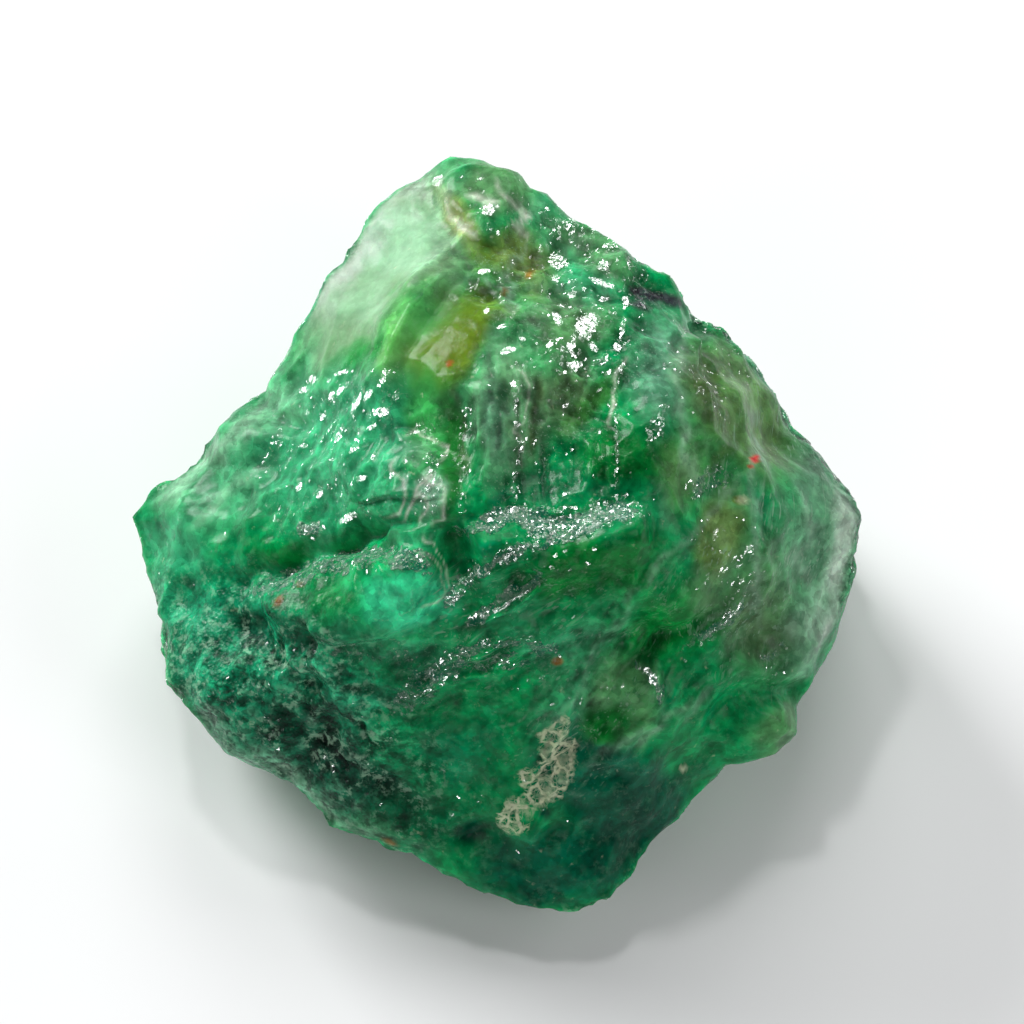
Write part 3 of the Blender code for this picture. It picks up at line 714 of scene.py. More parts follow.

# %% [markdown]
# ## Patches of colour
#
# The layers of paint are rows again: a place, a size and the name of a colour. Patches are soft ellipses,
# from the widest clouds down to single dark pits. They are laid in this order, so a later one covers an
# earlier one. Nothing here is raised: it is only colour. Some patches are painted shade, in pits, under the
# ledge and under the west bulge, and one is painted light in a shaded groove.

# %% Patches
PATCHES = {  # place, half length, half width, turn, border share, strength, colour
    "north-west face": (-5.7, 13.2, 7.0, 4.8, 60, 0.5, 0.95, "pale mint"),
    "milky cloud": (-5.0, 14.7, 3.0, 2.1, 20, 0.6, 0.95, "milk"),
    "low milky cloud": (-7.0, 11.7, 2.3, 1.7, 35, 0.7, 0.6, "milk"),
    "sap under the clouds": (-4.5, 10.6, 3.4, 1.5, 50, 0.7, 0.85, "sap green"),
    "emerald under the clouds": (-6.4, 9.2, 2.3, 1.0, 35, 0.7, 0.9, "spring green"),
    "knob": (-0.2, 17.6, 2.6, 1.7, -10, 0.5, 0.9, "moss"),
    "leaf spot of the knob": (-1.5, 16.3, 0.7, 0.9, 0, 0.8, 0.5, "sap green"),
    "straw streak": (-2.1, 15.6, 2.3, 1.0, -58, 0.7, 0.9, "straw"),
    "olive top": (-0.3, 14.0, 1.9, 1.5, 0, 0.7, 0.9, "olive"),
    "brown olive top": (1.5, 13.4, 2.1, 1.7, -30, 0.8, 0.9, "brown olive"),
    "leaf top": (1.0, 15.0, 1.4, 0.9, -20, 0.8, 0.6, "straw"),
    "north slope": (4.4, 14.6, 4.2, 1.7, -35, 0.7, 0.8, "moss"),
    "olive saddle": (-0.5, 11.2, 1.9, 1.3, 0, 0.7, 0.85, "olive"),
    "dark sparkling ground": (3.2, 10.8, 3.2, 2.2, -10, 0.7, 0.6, "olive grey"),
    "olive crest": (-2.4, 9.8, 4.4, 2.2, 48, 0.7, 0.9, "olive"),
    # painted light that lifts the shade in the groove beside the west crest
    "painted light in the groove by the crest": (-5.0, 9.8, 2.4, 0.8, 70, 0.8, 0.6, "bright sap"),
    "yellow crest": (-2.2, 9.5, 3.2, 1.6, 50, 0.9, 0.8, "yellow olive"),
    "emerald slope": (-8.2, 4.6, 5.8, 4.2, 20, 0.5, 0.9, "emerald"),
    "vivid slope": (-4.9, 1.5, 3.6, 1.4, 30, 0.7, 0.6, "emerald"),
    "mint shoulder": (-11.0, 6.7, 2.6, 1.8, 20, 0.8, 0.65, "mint"),
    "west slope": (-14.0, 1.9, 4.4, 2.2, 38, 0.7, 0.8, "soft emerald"),
    "emerald tip": (-16.4, -0.3, 2.6, 1.7, -30, 0.6, 0.8, "emerald"),
    # painted shade in the crease under the overhanging west bulge
    "painted shade under the west bulge": (-10.8, -0.7, 2.0, 1.2, 15, 0.7, 0.7, "vivid green"),
    "emerald crest": (-3.3, 6.0, 1.6, 3.2, 0, 0.7, 0.8, "sap green"),
    "leaf streak": (-2.2, 4.5, 0.75, 5.0, 0, 0.6, 0.9, "leaf"),
    "grey hollow": (0.6, 6.2, 2.3, 4.6, 0, 0.6, 0.95, "grey green"),
    "grey hollow beyond": (3.3, 7.2, 2.2, 2.8, 0, 0.8, 0.7, "olive grey"),
    "pale groove": (-0.1, 5.6, 0.9, 3.2, 0, 0.8, 0.7, "grey teal"),
    "deep slant": (4.7, 6.7, 2.7, 0.9, 42, 0.7, 0.8, "dark olive"),
    "deep end": (6.2, 4.0, 2.8, 2.6, 20, 0.6, 0.95, "forest"),
    # painted shade on the deep floor of the hollow behind the ledge
    "painted shade on the hollow floor": (3.6, 2.3, 4.8, 1.1, 0, 0.7, 0.9, "deep teal"),
    "grey slope beyond": (8.1, 8.8, 2.3, 3.4, 8, 0.7, 0.85, "grey teal"),
    "brown spot": (10.6, 3.8, 0.7, 1.3, -10, 0.8, 0.6, "umber"),
    "flake film": (-3.1, 2.1, 0.8, 1.8, 0, 0.7, 0.55, "veil"),
    "crest film": (-4.0, 4.4, 1.0, 0.9, 0, 0.7, 0.35, "veil"),
    "teal spot": (-0.2, -0.1, 1.0, 0.55, 35, 0.8, 0.9, "teal"),
    "small teal spot": (0.3, 1.6, 0.7, 0.35, 30, 0.8, 0.9, "teal"),
    # painted shade on the side below the ledge, which faces away from the light
    "painted shade under the ledge": (4.6, -1.5, 5.0, 2.2, 12, 0.6, 0.9, "vivid green"),
    "low green": (3.4, -3.8, 4.4, 1.4, 20, 0.8, 0.7, "deep green"),
    "turquoise lump": (-4.6, -3.1, 3.0, 1.8, 0, 0.5, 0.95, "turquoise"),
    "green lump": (-9.2, -3.4, 3.2, 1.7, 10, 0.7, 0.85, "forest"),
    "south of the lump": (-5.4, -5.2, 4.4, 1.4, -8, 0.8, 0.7, "emerald"),
    "crumbly ground": (-11.6, -7.6, 9.0, 5.8, -42, 0.5, 0.85, "sea green"),
    "crumbly dark": (-9.0, -10.6, 6.2, 2.2, -38, 0.9, 0.75, "night green"),
    "crumbly low dark": (-5.2, -13.2, 5.0, 2.4, -28, 0.8, 0.75, "night green"),
    "crumbly turquoise": (-9.0, -6.4, 1.5, 0.8, -20, 0.8, 0.7, "turquoise"),
    "small emerald": (-6.7, -8.4, 1.4, 0.6, -10, 0.8, 0.9, "turquoise"),
    # these five dark pits are painted shade in the hollows of the crumbly corner and the toe
    "dark pit of the west": (-12.2, -5.1, 1.0, 0.8, 0, 0.7, 0.9, "night green"),
    "dark pit of the corner": (-8.9, -8.8, 1.3, 0.8, 0, 0.7, 0.9, "night green"),
    "dark pit of the south-west": (-7.4, -11.1, 1.4, 0.8, -20, 0.7, 0.9, "night green"),
    "dark pit of the south": (-5.3, -12.3, 1.4, 0.9, -20, 0.7, 0.9, "night green"),
    "dark pit over the toe": (-1.3, -14.4, 1.2, 0.8, 30, 0.7, 0.9, "night green"),
    "south emerald": (-2.3, -10.6, 3.4, 2.1, 20, 0.8, 0.85, "teal"),
    "toe": (3.1, -16.6, 5.4, 2.8, 0, 0.6, 0.9, "slate green"),
    "south-east face": (5.8, -12.6, 5.6, 3.2, -40, 0.5, 0.9, "slate green"),
    "south-east shade": (6.4, -14.6, 2.4, 3.4, -50, 0.7, 0.6, "night green"),
    "stringy middle": (4.2, -6.6, 2.0, 5.4, -35, 0.8, 0.5, "soft emerald"),
    "knob of the south-east": (6.2, -7.9, 2.2, 2.6, -30, 0.6, 0.8, "moss"),
    "dark cup of the knob": (5.4, -9.3, 1.7, 0.9, 25, 0.6, 0.95, "vivid green"),
    "east green": (8.4, -4.2, 3.2, 2.4, 38, 0.7, 0.85, "spring green"),
    "east olive": (11.1, 0.2, 1.6, 3.0, -8, 0.6, 0.8, "brown olive"),
    "east mint patch": (10.3, -2.6, 1.4, 1.5, 30, 0.8, 0.7, "moss"),
    "olive before the veils": (9.0, 3.4, 1.6, 2.6, 0, 0.8, 0.5, "brown olive"),
    "east ground": (12.9, -3.6, 3.0, 4.4, 0, 0.7, 0.55, "olive grey"),
    "north-east ground": (12.1, 6.6, 3.4, 4.8, 30, 0.6, 0.65, "brown olive"),
    "brown veil": (10.3, 7.4, 1.1, 2.2, 16, 0.8, 0.85, "umber"),
    "north-east crest": (13.0, 10.0, 2.2, 1.0, -48, 0.7, 0.7, "sap green"),
    "east face": (15.8, 1.0, 2.6, 5.6, -6, 0.8, 0.4, "veil"),
    "east rim": (17.3, -1.2, 1.3, 5.6, -10, 0.8, 0.85, "stone grey"),
    "low east veil": (15.6, -4.9, 1.8, 3.2, -24, 0.8, 0.5, "veil"),
    "lobe": (14.4, -9.6, 2.4, 1.6, 20, 0.7, 0.8, "moss"),
    "smoke": (7.8, 12.0, 1.7, 0.7, -8, 0.6, 0.97, "smoke"),
    "smoke tail": (10.1, 10.6, 0.8, 1.3, 0, 0.8, 0.6, "smoke"),
}
print("patches:", len(PATCHES))

# %% [markdown]
# ## Bands and specks
#
# Veins, veils and the pale edges of flakes are lines, and a line is drawn best as a line: a band follows it
# and fades at both ends. A few bands are painted light and shade instead: a painted reflection along the
# north-west edge, a painted glint line in the hollow, and painted shade in the gap. The tiny red, rusty and
# yellow spots are grains of something else in the stone, and the dark pit over the toe is painted shade.
# They are small ellipses with a hard edge, laid last.

# %% Bands and specks
BANDS = {  # half width, strength, colour, line
    # painted reflection of the room along the north-west edge
    "painted reflection on the north-west edge": (0.5, 0.6, "lilac grey", [(-2.9, 18.2), (-4.9, 17.0), (-7.4, 13.8), (-9.6, 10.2)]),
    "dark line in the hollow": (0.25, 0.9, "umber", [(-1.6, 8.9), (-1.6, 2.4)]),
    "second dark line": (0.25, 0.9, "umber", [(1.7, 9.0), (1.6, 3.0)]),
    # painted shade along the crease of the gap over the south-east knob
    "gap": (0.5, 1.0, "forest", [(6.6, -6.4), (8.2, -5.6), (9.8, -4.5), (11.8, -3.0)]),
    "dark slash": (0.3, 0.8, "forest", [(9.3, 2.6), (9.6, 1.8), (10.0, 0.8), (9.4, -0.8)]),
    "pale west edge": (0.8, 0.7, "frost", [(-17.4, 1.5), (-14.6, 4.0), (-12.6, 6.0), (-11.4, 7.2)]),
    "west streak": (0.35, 0.5, "frost", [(-15.4, 0.2), (-13.8, 2.2), (-12.2, 3.6)]),
    "pale lower rim": (0.5, 0.6, "veil", [
        (-16.2, -7.4), (-15.6, -8.6), (-13.4, -10.4),
        (-10.2, -12.0), (-7.8, -14.1), (-4.4, -15.8),
    ]),
    "knob vein": (0.17, 1.0, "white", [(0.2, 17.6), (0.9, 16.6), (1.25, 16.1), (1.0, 15.8), (1.8, 14.5)]),
    "left knob vein": (0.22, 1.0, "white", [(-1.8, 17.1), (-0.6, 16.6), (0.3, 16.8)]),
    "knob border": (0.24, 0.9, "white", [(-3.0, 17.6), (-2.5, 15.9), (-1.7, 15.0), (-0.9, 14.7)]),
    "knob strand": (0.14, 0.7, "veil", [(1.9, 14.5), (1.25, 13.65), (0.8, 12.75), (0.9, 11.45), (0.3, 10.9)]),
    "saddle strand": (0.12, 0.6, "veil", [(-0.7, 12.7), (0.0, 12.3), (0.6, 11.6), (0.5, 10.6)]),
    "flake arc": (0.08, 0.8, "white", [(-4.8, 5.1), (-3.9, 5.5), (-3.15, 4.9), (-2.6, 4.3), (-2.8, 3.5)]),
    "flake edge": (0.1, 0.8, "white", [
        (-5.0, 4.3), (-4.9, 3.4), (-4.4, 2.9),
        (-4.5, 2.1), (-5.0, 1.4), (-5.9, 0.9),
    ]),
    "second flake edge": (0.12, 0.9, "white", [
        (-3.0, 3.8), (-3.05, 2.9), (-3.65, 2.3),
        (-4.0, 1.6), (-4.8, 0.8),
    ]),
    "third flake edge": (0.08, 0.9, "white", [(-3.1, 3.0), (-2.65, 1.9), (-2.55, 0.9), (-2.9, 0.3)]),
    "short flake edge": (0.08, 0.8, "white", [(-3.6, 2.4), (-3.3, 1.4), (-3.4, 0.4)]),
    "crack": (0.06, 0.9, "white", [(-3.3, 0.3), (-2.9, -0.5), (-2.5, -1.5), (-2.2, -3.0)]),
    "lump end": (0.07, 0.7, "white", [
        (-4.3, -0.6), (-3.4, -0.95), (-2.8, -1.7),
        (-2.65, -2.6), (-3.0, -3.25), (-3.8, -3.7),
    ]),
    "glint line": (0.06, 0.6, "white", [(1.2, 8.9), (1.15, 6.0), (1.2, 2.8)]),
    "white thread": (0.07, 0.95, "white", [(6.4, 8.9), (5.9, 8.0), (5.75, 6.2), (5.7, 5.2)]),
    "scratch": (0.05, 0.7, "veil", [(-0.7, -9.35), (0.6, -9.0), (1.9, -8.65)]),
    "west veil": (0.25, 0.6, "veil", [(9.4, 11.2), (9.3, 8.6), (8.9, 6.4), (9.3, 4.0), (9.9, 1.6)]),
    "long veil": (0.2, 0.8, "veil", [
        (11.8, 6.0), (12.6, 4.2), (12.6, 1.4),
        (12.9, -1.0), (13.0, -3.4), (12.7, -5.2),
    ]),
    "branch veil": (0.16, 0.7, "veil", [(12.5, 7.2), (12.5, 5.4), (12.7, 4.2)]),
    "slant veil": (0.2, 0.5, "veil", [(12.4, 3.4), (11.0, 1.6), (9.0, -0.4), (7.2, -2.6)]),
    "east veil": (0.3, 0.7, "veil", [
        (14.6, 3.2), (15.7, 0.6), (15.0, -0.8),
        (15.8, -2.6), (15.7, -4.4), (14.6, -5.8),
    ]),
    "rim veil": (0.35, 0.7, "stone grey", [(16.4, 3.6), (17.4, 1.2), (17.1, -2.4), (16.0, -5.6)]),
    "brink": (0.25, 0.6, "veil", [(11.2, -7.5), (8.8, -8.6), (6.4, -9.9), (4.0, -11.6)]),
    "stringy veil": (0.25, 0.4, "veil", [(7.0, -1.4), (5.4, -4.6), (3.8, -7.6), (2.4, -10.4)]),
}
SPECKS = {  # place, half length, half width, turn, strength, colour
    "red speck": (12.7, 3.95, 0.22, 0.18, 40, 1.0, "red"),
    "red drop": (12.5, 3.6, 0.12, 0.1, 0, 0.9, "red"),
    "yellow spot": (11.9, 1.9, 0.26, 0.2, 0, 0.9, "yellow olive"),
    "crest rust": (-2.4, 8.6, 0.2, 0.14, 60, 1.0, "rust"),
    "lump rust": (-10.8, -3.1, 0.3, 0.2, 60, 0.9, "rust"),
    "second lump rust": (-9.75, -2.25, 0.22, 0.16, 0, 0.7, "rust"),
    "middle rust": (2.95, -6.05, 0.2, 0.26, 90, 0.9, "rust"),
    "toe rust": (-5.4, -15.2, 0.4, 0.16, -30, 0.8, "rust"),
    "east yellow": (12.1, 1.9, 0.3, 0.2, 0, 0.6, "cream"),
    "low yellow": (9.25, -11.5, 0.2, 0.16, 0, 0.8, "cream"),
    "saddle rust": (1.6, 13.1, 0.3, 0.14, 50, 0.7, "rust"),
    "second saddle rust": (0.4, 12.2, 0.24, 0.12, 70, 0.6, "rust"),
    # painted shade in the toe pit
    "dark pit": (-1.4, -14.4, 0.5, 0.34, 30, 0.9, "night green"),
    "dark hole": (2.35, -13.65, 0.34, 0.3, 0, 0.95, "night green"),
    "second dark hole": (0.8, -13.65, 0.3, 0.4, 10, 0.8, "night green"),
}
print("bands:", len(BANDS), "specks:", len(SPECKS))

# %% [markdown]
# ## Painting the stone
#
# Paint goes on from the back to the front. First comes the ground, clouds of green in space, so that a
# cloud runs on round a corner as it does in real stone. Then the patches, bands and specks are laid over
# it in turn. Last, crests are bruised pale and get painted light, and pits get painted shade.

# %% The painted colour
CLOUDS = (  # size, octaves, seed, side of nought, where it starts and is full, strength, colour
    (4.2, 3, 201, 1.0, 0.1, 0.9, 0.8, "emerald"),
    (4.2, 3, 201, -1.0, 0.3, 1.0, 0.6, "night green"),
    (2.6, 2, 205, 1.0, 0.4, 1.0, 0.4, "teal"),
)
PAINT_STRAY, PAINT_STRAY_SIZE = 0.55, 1.8  # how far the edges of the patches stray, and over what length
PATCH_START = -0.1  # the ellipse share at which a patch begins, just outside its rim
BAND_STRENGTH, BAND_BREAKS = 0.7, 0.3  # a band's middle strength, and how much noise adds or takes
BAND_BREAK_SIZE = 0.8
SPECK_STRAY, SPECK_BORDER = 0.1, (-0.4, 0.4)  # specks keep their place and have harder edges
BRUISE, CRUMBLY_BRUISE = 0.03, 0.15  # how pale a crest gets, and what crumbly skin adds
BRUISED_TONES = (0.1, 0.7)  # where bruising starts and is full
# painted light on crests and painted shade in pits: how strong each is, and the tone where it is full
CREST_PAINTED_LIGHT, PIT_PAINTED_SHADE, FULL_TONE = 0.25, 0.6, 0.5  # how much lighter and darker, and the tone where in full


def ground_colour(points):
    """Clouds of emerald, teal and night green in deep green, by soft noise in space."""
    colour = np.tile(COLOURS["deep green"], (len(points), 1))
    for size, octaves, seed, side, start, full, strength, name in CLOUDS:
        cloud = strength * smooth(side * rough(points, size, octaves, seed), start, full)
        colour = mix(colour, COLOURS[name], cloud)
    return colour


def painted(points, shares):
    """The ground colour with each patch, band and speck laid over it, their edges wandering."""
    colour = ground_colour(points)
    stray = drift(points, PAINT_STRAY_SIZE, 3, 211, 212)
    u, v = (points[:, :2] + PAINT_STRAY * stray).T
    for *place, border, strength, name in PATCHES.values():
        share = smooth(ellipse_share(u, v, place), PATCH_START, border)
        colour = mix(colour, COLOURS[name], strength * share * shares["shows"])
    breaks = BAND_STRENGTH + BAND_BREAKS * rough(points, BAND_BREAK_SIZE, 2, 215)
    for half_width, strength, name, line in BANDS.values():
        signed, run = line_reading(u, v, line)
        share = np.exp(-((signed / half_width) ** 2)) * fading_ends(run) * breaks
        colour = mix(colour, COLOURS[name], np.clip(strength * share, 0.0, 1.0) * shares["shows"])
    u, v = points[:, 0] + SPECK_STRAY * stray[:, 0], points[:, 1]
    for *place, strength, name in SPECKS.values():
        share = smooth(ellipse_share(u, v, place), *SPECK_BORDER)
        colour = mix(colour, COLOURS[name], strength * share * shares["shows"])
    return np.clip(colour, 0.0, 1.0)


def bruised_with_painted_light_and_shade(colours, tone, crumbly):
    """Crests are bruised pale and get painted light, pits get painted shade: veil and light above 0, shade
    below.
    """
    bruised = (BRUISE + CRUMBLY_BRUISE * crumbly) * smooth(tone, *BRUISED_TONES)
    colours = mix(colours, COLOURS["veil"], bruised)
    # painted light on the crests, then painted shade in the pits
    colours = colours * (1.0 + CREST_PAINTED_LIGHT * smooth(tone, 0.0, FULL_TONE))[:, None]
    return colours * (1.0 - PIT_PAINTED_SHADE * smooth(-tone, 0.0, FULL_TONE))[:, None]


tint = bruised_with_painted_light_and_shade(painted(sheet_points, shares), tone, shares["crumbly"])
print("tone:", np.percentile(tone, [1, 25, 50, 75, 99]).round(2))

# %% [markdown]
# ## Frosted lines
#
# Where an edge was rubbed, the skin is no longer clear but sugary and grey. That happens along the ledge
# and the ridges, so it is drawn along lines too. Here the mesh only learns how sugary each point is, and
# the finish makes grains of it later.

# %% Frosted lines
FROSTED = {  # half width, strength, line: where the skin is sugary and slate grey
    "ledge": (0.45, 1.0, [(-0.5, 0.85), (0.9, 1.1), (2.3, 0.85), (3.8, 0.75), (5.2, 0.95), (6.4, 1.35)]),
    "ledge belly": (0.36, 0.8, [(1.7, 0.5), (3.0, 0.05), (4.5, 0.35)]),
    "ledge root": (0.3, 0.5, [(-2.2, 0.3), (-0.8, 0.75)]),
    "spur": (0.3, 0.7, [(2.6, 0.0), (1.35, -0.5), (0.35, -0.95), (-0.5, -1.4), (-1.4, -1.9), (-2.2, -2.6)]),
    "spur foot": (0.3, 0.6, [(-2.0, -2.0), (-2.6, -3.0)]),
    "white ridge": (0.26, 0.9, [(2.0, -1.9), (1.1, -2.45), (0.1, -3.1), (-0.9, -3.7), (-1.4, -4.1)]),
    "middle band": (0.26, 0.6, [
        (2.9, -5.5), (1.1, -5.15), (0.1, -5.1),
        (-0.9, -5.35), (-2.4, -5.85), (-3.6, -6.6),
    ]),
    "lower band": (0.3, 0.6, [(1.4, -6.25), (0.1, -6.1), (-1.4, -6.1), (-2.4, -6.6), (-3.4, -7.3)]),
    "silver": (0.9, 0.5, [(-2.4, -6.2), (-3.4, -7.0), (-4.6, -8.0)]),
    "south of the lump": (0.7, 0.4, [(-10.0, -5.2), (-7.8, -5.6), (-5.6, -5.8), (-3.6, -6.4)]),
    "lump top": (0.6, 0.6, [(-11.8, -2.5), (-9.8, -1.8), (-7.6, -1.2), (-5.6, -0.8), (-3.6, -1.2)]),
    "lump patch": (0.5, 0.8, [(-4.9, -1.1), (-4.3, -1.2)]),
    "slope patch": (0.42, 0.8, [(-9.5, 0.4), (-9.0, 0.4)]),
    "crest folds": (0.5, 0.4, [(-3.6, 5.4), (-3.1, 3.6), (-3.4, 1.0)]),
    "gap brink": (0.35, 0.6, [(9.4, -5.3), (10.2, -4.9), (11.2, -4.2), (11.9, -3.4)]),
    "knob brink": (0.2, 0.8, [(6.9, -6.2), (7.8, -6.9), (8.0, -7.8)]),
    "east patch": (0.6, 0.5, [(9.8, 2.5), (10.6, 3.0), (11.4, 3.3)]),
    "low east patch": (0.35, 0.45, [(13.2, -6.2), (14.2, -5.5)]),
    "corner clump": (0.35, 0.5, [(-13.9, -7.6), (-13.4, -8.1)]),
    "corner clump above": (0.3, 0.4, [(-10.4, -7.8), (-10.0, -7.6)]),
    "corner streak": (0.3, 0.4, [(-12.0, -7.4), (-11.6, -9.4), (-11.0, -10.4)]),
}
FROST_STRAY, FROST_STRAY_SIZE = 0.3, 0.7  # how far the frosted lines stray, and over what length
FROST_FADE = (0.5, 1.4)  # where a line starts to fade and is gone, in half widths
FROST_BREAKS, FROST_BREAK_SIZE = (0.85, 0.25), 0.6  # middle strength, and how much noise adds or takes


def frosted_share(points):
    """How sugary the skin is along the frosted lines, broken up by noise."""
    u, v = (points[:, :2] + FROST_STRAY * drift(points, FROST_STRAY_SIZE, 3, 221, 222)).T
    share = np.zeros(len(points))
    for half_width, strength, line in FROSTED.values():
        signed, _ = line_reading(u, v, line)
        start, gone = (fade * half_width for fade in FROST_FADE)
        share = np.maximum(share, strength * (1.0 - smooth(np.abs(signed), start, gone)))
    middle, breaks = FROST_BREAKS
    return share * (middle + breaks * rough(points, FROST_BREAK_SIZE, 2, 223))


frosted = frosted_share(sheet_points) * shares["shows"]
print("points that are more than half frosted:", int((frosted > 0.5).sum()))

# %% [markdown]
# ## The cream net
#
# Under the brink a cream crust has grown over the stone, full of round holes like lace. Here the mesh only
# says where that crust is, as three overlapping ellipses. The lace itself comes in the finish, because
# its threads are far finer than the mesh.

# %% Where the net is
NETS = [(2.5, -12.0, 2.0, 1.5, 40), (3.0, -10.2, 1.8, 1.4, 75), (0.9, -13.75, 1.4, 1.3, 0)]
NET_STRAY, NET_STRAY_SIZE = 0.4, 1.2  # how far its edges stray, and over what length
NET_BORDER = 0.6  # share of each ellipse over which it fades in


def net_share(points):
    """How much of the cream net there is: it stretches over three patches under the brink."""
    u, v = points[:, 0] + NET_STRAY * rough(points, NET_STRAY_SIZE, 2, 224), points[:, 1]
    share = np.zeros(len(points))
    for place in NETS:
        share = np.maximum(share, smooth(ellipse_share(u, v, place), 0.0, NET_BORDER))
    return share


print("patches of net:", len(NETS))

# %% [markdown]
# ## Sparkles and gleams
#
# The stone glitters in some places and not in others. Sparkles are patches and gleams are lines, and both
# say how many of the small cleavage faces flash there. Which of them do is left to chance in the finish.

# %% Sparkles and gleams
SPARKLES = {  # place, half length, half width, turn, share of the large and of the small faces that flash
    "west slope": (-9.2, 3.6, 4.6, 3.6, 25, 0.07, 0.12),
    "upper west slope": (-7.4, 6.6, 3.6, 2.2, 20, 0.14, 0.16),
    "shoulder": (-6.2, 2.2, 3.6, 1.8, 15, 0.06, 0.10),
    "slope patch": (-9.2, 0.4, 0.9, 0.6, 0, 0.4, 0.4),
    "top": (3.8, 12.6, 4.8, 3.0, -28, 0.14, 0.16),
    "knob": (-0.6, 16.4, 2.8, 2.1, 0, 0.06, 0.08),
    "saddle": (-0.2, 12.4, 2.4, 2.0, 20, 0.10, 0.12),
    "north slope": (4.8, 14.4, 4.4, 1.7, -35, 0.12, 0.22),
    "hollow head": (4.2, 9.0, 3.6, 1.5, 0, 0.16, 0.22),
    "flakes": (-3.6, 2.4, 1.8, 2.6, 0, 0.16, 0.16),
    "deep end": (6.4, 2.4, 2.0, 1.4, 0, 0.0, 0.08),
    "hollow": (3.0, 4.4, 5.0, 4.8, 0, 0.02, 0.06),
    "below the ledge": (1.4, -2.4, 5.4, 3.0, 25, 0.025, 0.07),
    "lump top": (-6.0, -1.2, 4.0, 0.8, 10, 0.04, 0.14),
    "south of the lump": (-5.4, -6.4, 4.6, 1.6, -12, 0.05, 0.16),
    "silver": (-3.4, -7.2, 2.4, 1.8, 25, 0.12, 0.3),
    "crumbly": (-10.0, -8.2, 8.4, 4.8, -38, 0.03, 0.09),
    "west rim": (-15.2, -2.0, 2.4, 5.4, 10, 0.02, 0.06),
    "toe": (-0.6, -12.6, 5.6, 3.0, -30, 0.0, 0.05),
    "middle": (2.4, -6.0, 4.4, 3.0, 20, 0.02, 0.06),
    "north-east": (10.4, 8.4, 3.6, 2.8, -40, 0.02, 0.08),
    "east green": (11.2, -1.4, 2.4, 3.4, 20, 0.05, 0.12),
    "lobe": (14.0, -6.8, 2.6, 1.4, 30, 0.02, 0.08),
}
GLEAMS = {  # half width, share of the large and of the small faces that flash, line
    "ledge brow": (0.2, 0.8, 0.7, [
        (-0.6, 0.95), (1.1, 1.55), (2.5, 1.4), (3.6, 1.3),
        (4.9, 1.55), (6.1, 1.9), (6.8, 1.5),
    ]),
    "ledge middle": (0.5, 0.35, 0.8, [(1.6, 0.8), (2.9, 0.3), (4.6, 0.8)]),
    "ledge end": (0.5, 0.5, 0.8, [(5.4, 1.2), (6.6, 1.4)]),
    "spur": (0.4, 0.4, 0.8, [(2.2, 0.1), (1.0, -0.55), (0.2, -0.9)]),
    "spur foot": (0.35, 0.3, 0.7, [(-0.6, -1.4), (-1.5, -2.1), (-2.4, -3.0)]),
    "white ridge": (0.17, 0.9, 0.9, [(1.9, -1.95), (0.9, -2.6), (-0.1, -3.2), (-1.1, -3.8)]),
    "left groove": (0.24, 0.35, 0.5, [(-1.5, 6.2), (-1.7, 4.0), (-1.8, 1.4)]),
    "middle groove": (0.2, 0.4, 0.5, [(1.0, 8.8), (0.9, 6.0), (1.1, 4.0), (0.7, 1.9)]),
    "right groove": (0.1, 0.4, 0.5, [(6.1, 8.8), (5.8, 7.2), (5.75, 2.4)]),
    "squiggle": (0.2, 0.6, 0.6, [(7.3, 4.8), (7.7, 5.6), (8.1, 6.5), (7.9, 5.2)]),
    "middle band": (0.3, 0.3, 0.7, [(1.6, -5.2), (0.0, -5.1), (-2.4, -5.9), (-3.6, -6.7)]),
    "lower band": (0.3, 0.3, 0.7, [(0.8, -6.2), (-1.4, -6.1), (-2.6, -6.7), (-3.6, -7.6)]),
    "knob brink": (0.16, 0.8, 0.8, [(6.9, -6.2), (7.8, -6.9), (8.0, -7.8)]),
    "knob folds": (0.3, 0.2, 0.4, [(4.4, -7.9), (5.2, -7.8), (5.8, -7.4)]),
    "gap brink": (0.25, 0.3, 0.5, [(8.8, -6.2), (10.2, -4.9), (11.2, -4.2), (11.9, -3.4)]),
    "crest folds": (0.2, 0.5, 0.4, [(-4.8, 4.9), (-3.9, 5.5), (-3.1, 4.9), (-2.6, 4.3)]),
    "flake": (0.16, 0.6, 0.4, [(-3.0, 3.8), (-3.05, 2.9), (-3.65, 2.3), (-4.6, 1.0)]),
}
SPARKLE_BORDER = 0.6  # share of each patch over which it fades in
GLEAM_STRAY, GLEAM_STRAY_SIZE = 0.12, 0.6  # how far the gleams stray, and over what length
FROST_LARGE, FROST_SMALL = 0.04, 0.35  # share of the faces that flash in frosted skin
SMALL_MORE = 1.4  # small faces flash this much more often than the rows say


def flashing_shares(points):
    """Share of the large and of the small cleavage faces that flash, in patches and along lines."""
    large = np.zeros(len(points))
    small = np.zeros(len(points))
    for *place, of_large, of_small in SPARKLES.values():
        share = smooth(ellipse_share(points[:, 0], points[:, 1], place), 0.0, SPARKLE_BORDER)
        large = np.maximum(large, share * of_large)
        small = np.maximum(small, share * of_small)
    u, v = (points[:, :2] + GLEAM_STRAY * drift(points, GLEAM_STRAY_SIZE, 2, 225, 226)).T
    for half_width, of_large, of_small, line in GLEAMS.values():
        signed, _ = line_reading(u, v, line)
        share = np.exp(-((signed / half_width) ** 2))
        large = np.maximum(large, share * of_large)
        small = np.maximum(small, share * of_small)
    return large, small


large_share, small_share = flashing_shares(sheet_points)
large_share = np.maximum(large_share, FROST_LARGE * frosted)
small_share = np.maximum(SMALL_MORE * small_share, FROST_SMALL * frosted)
print("mean share that flashes, large and small:", large_share.mean().round(3), small_share.mean().round(3))

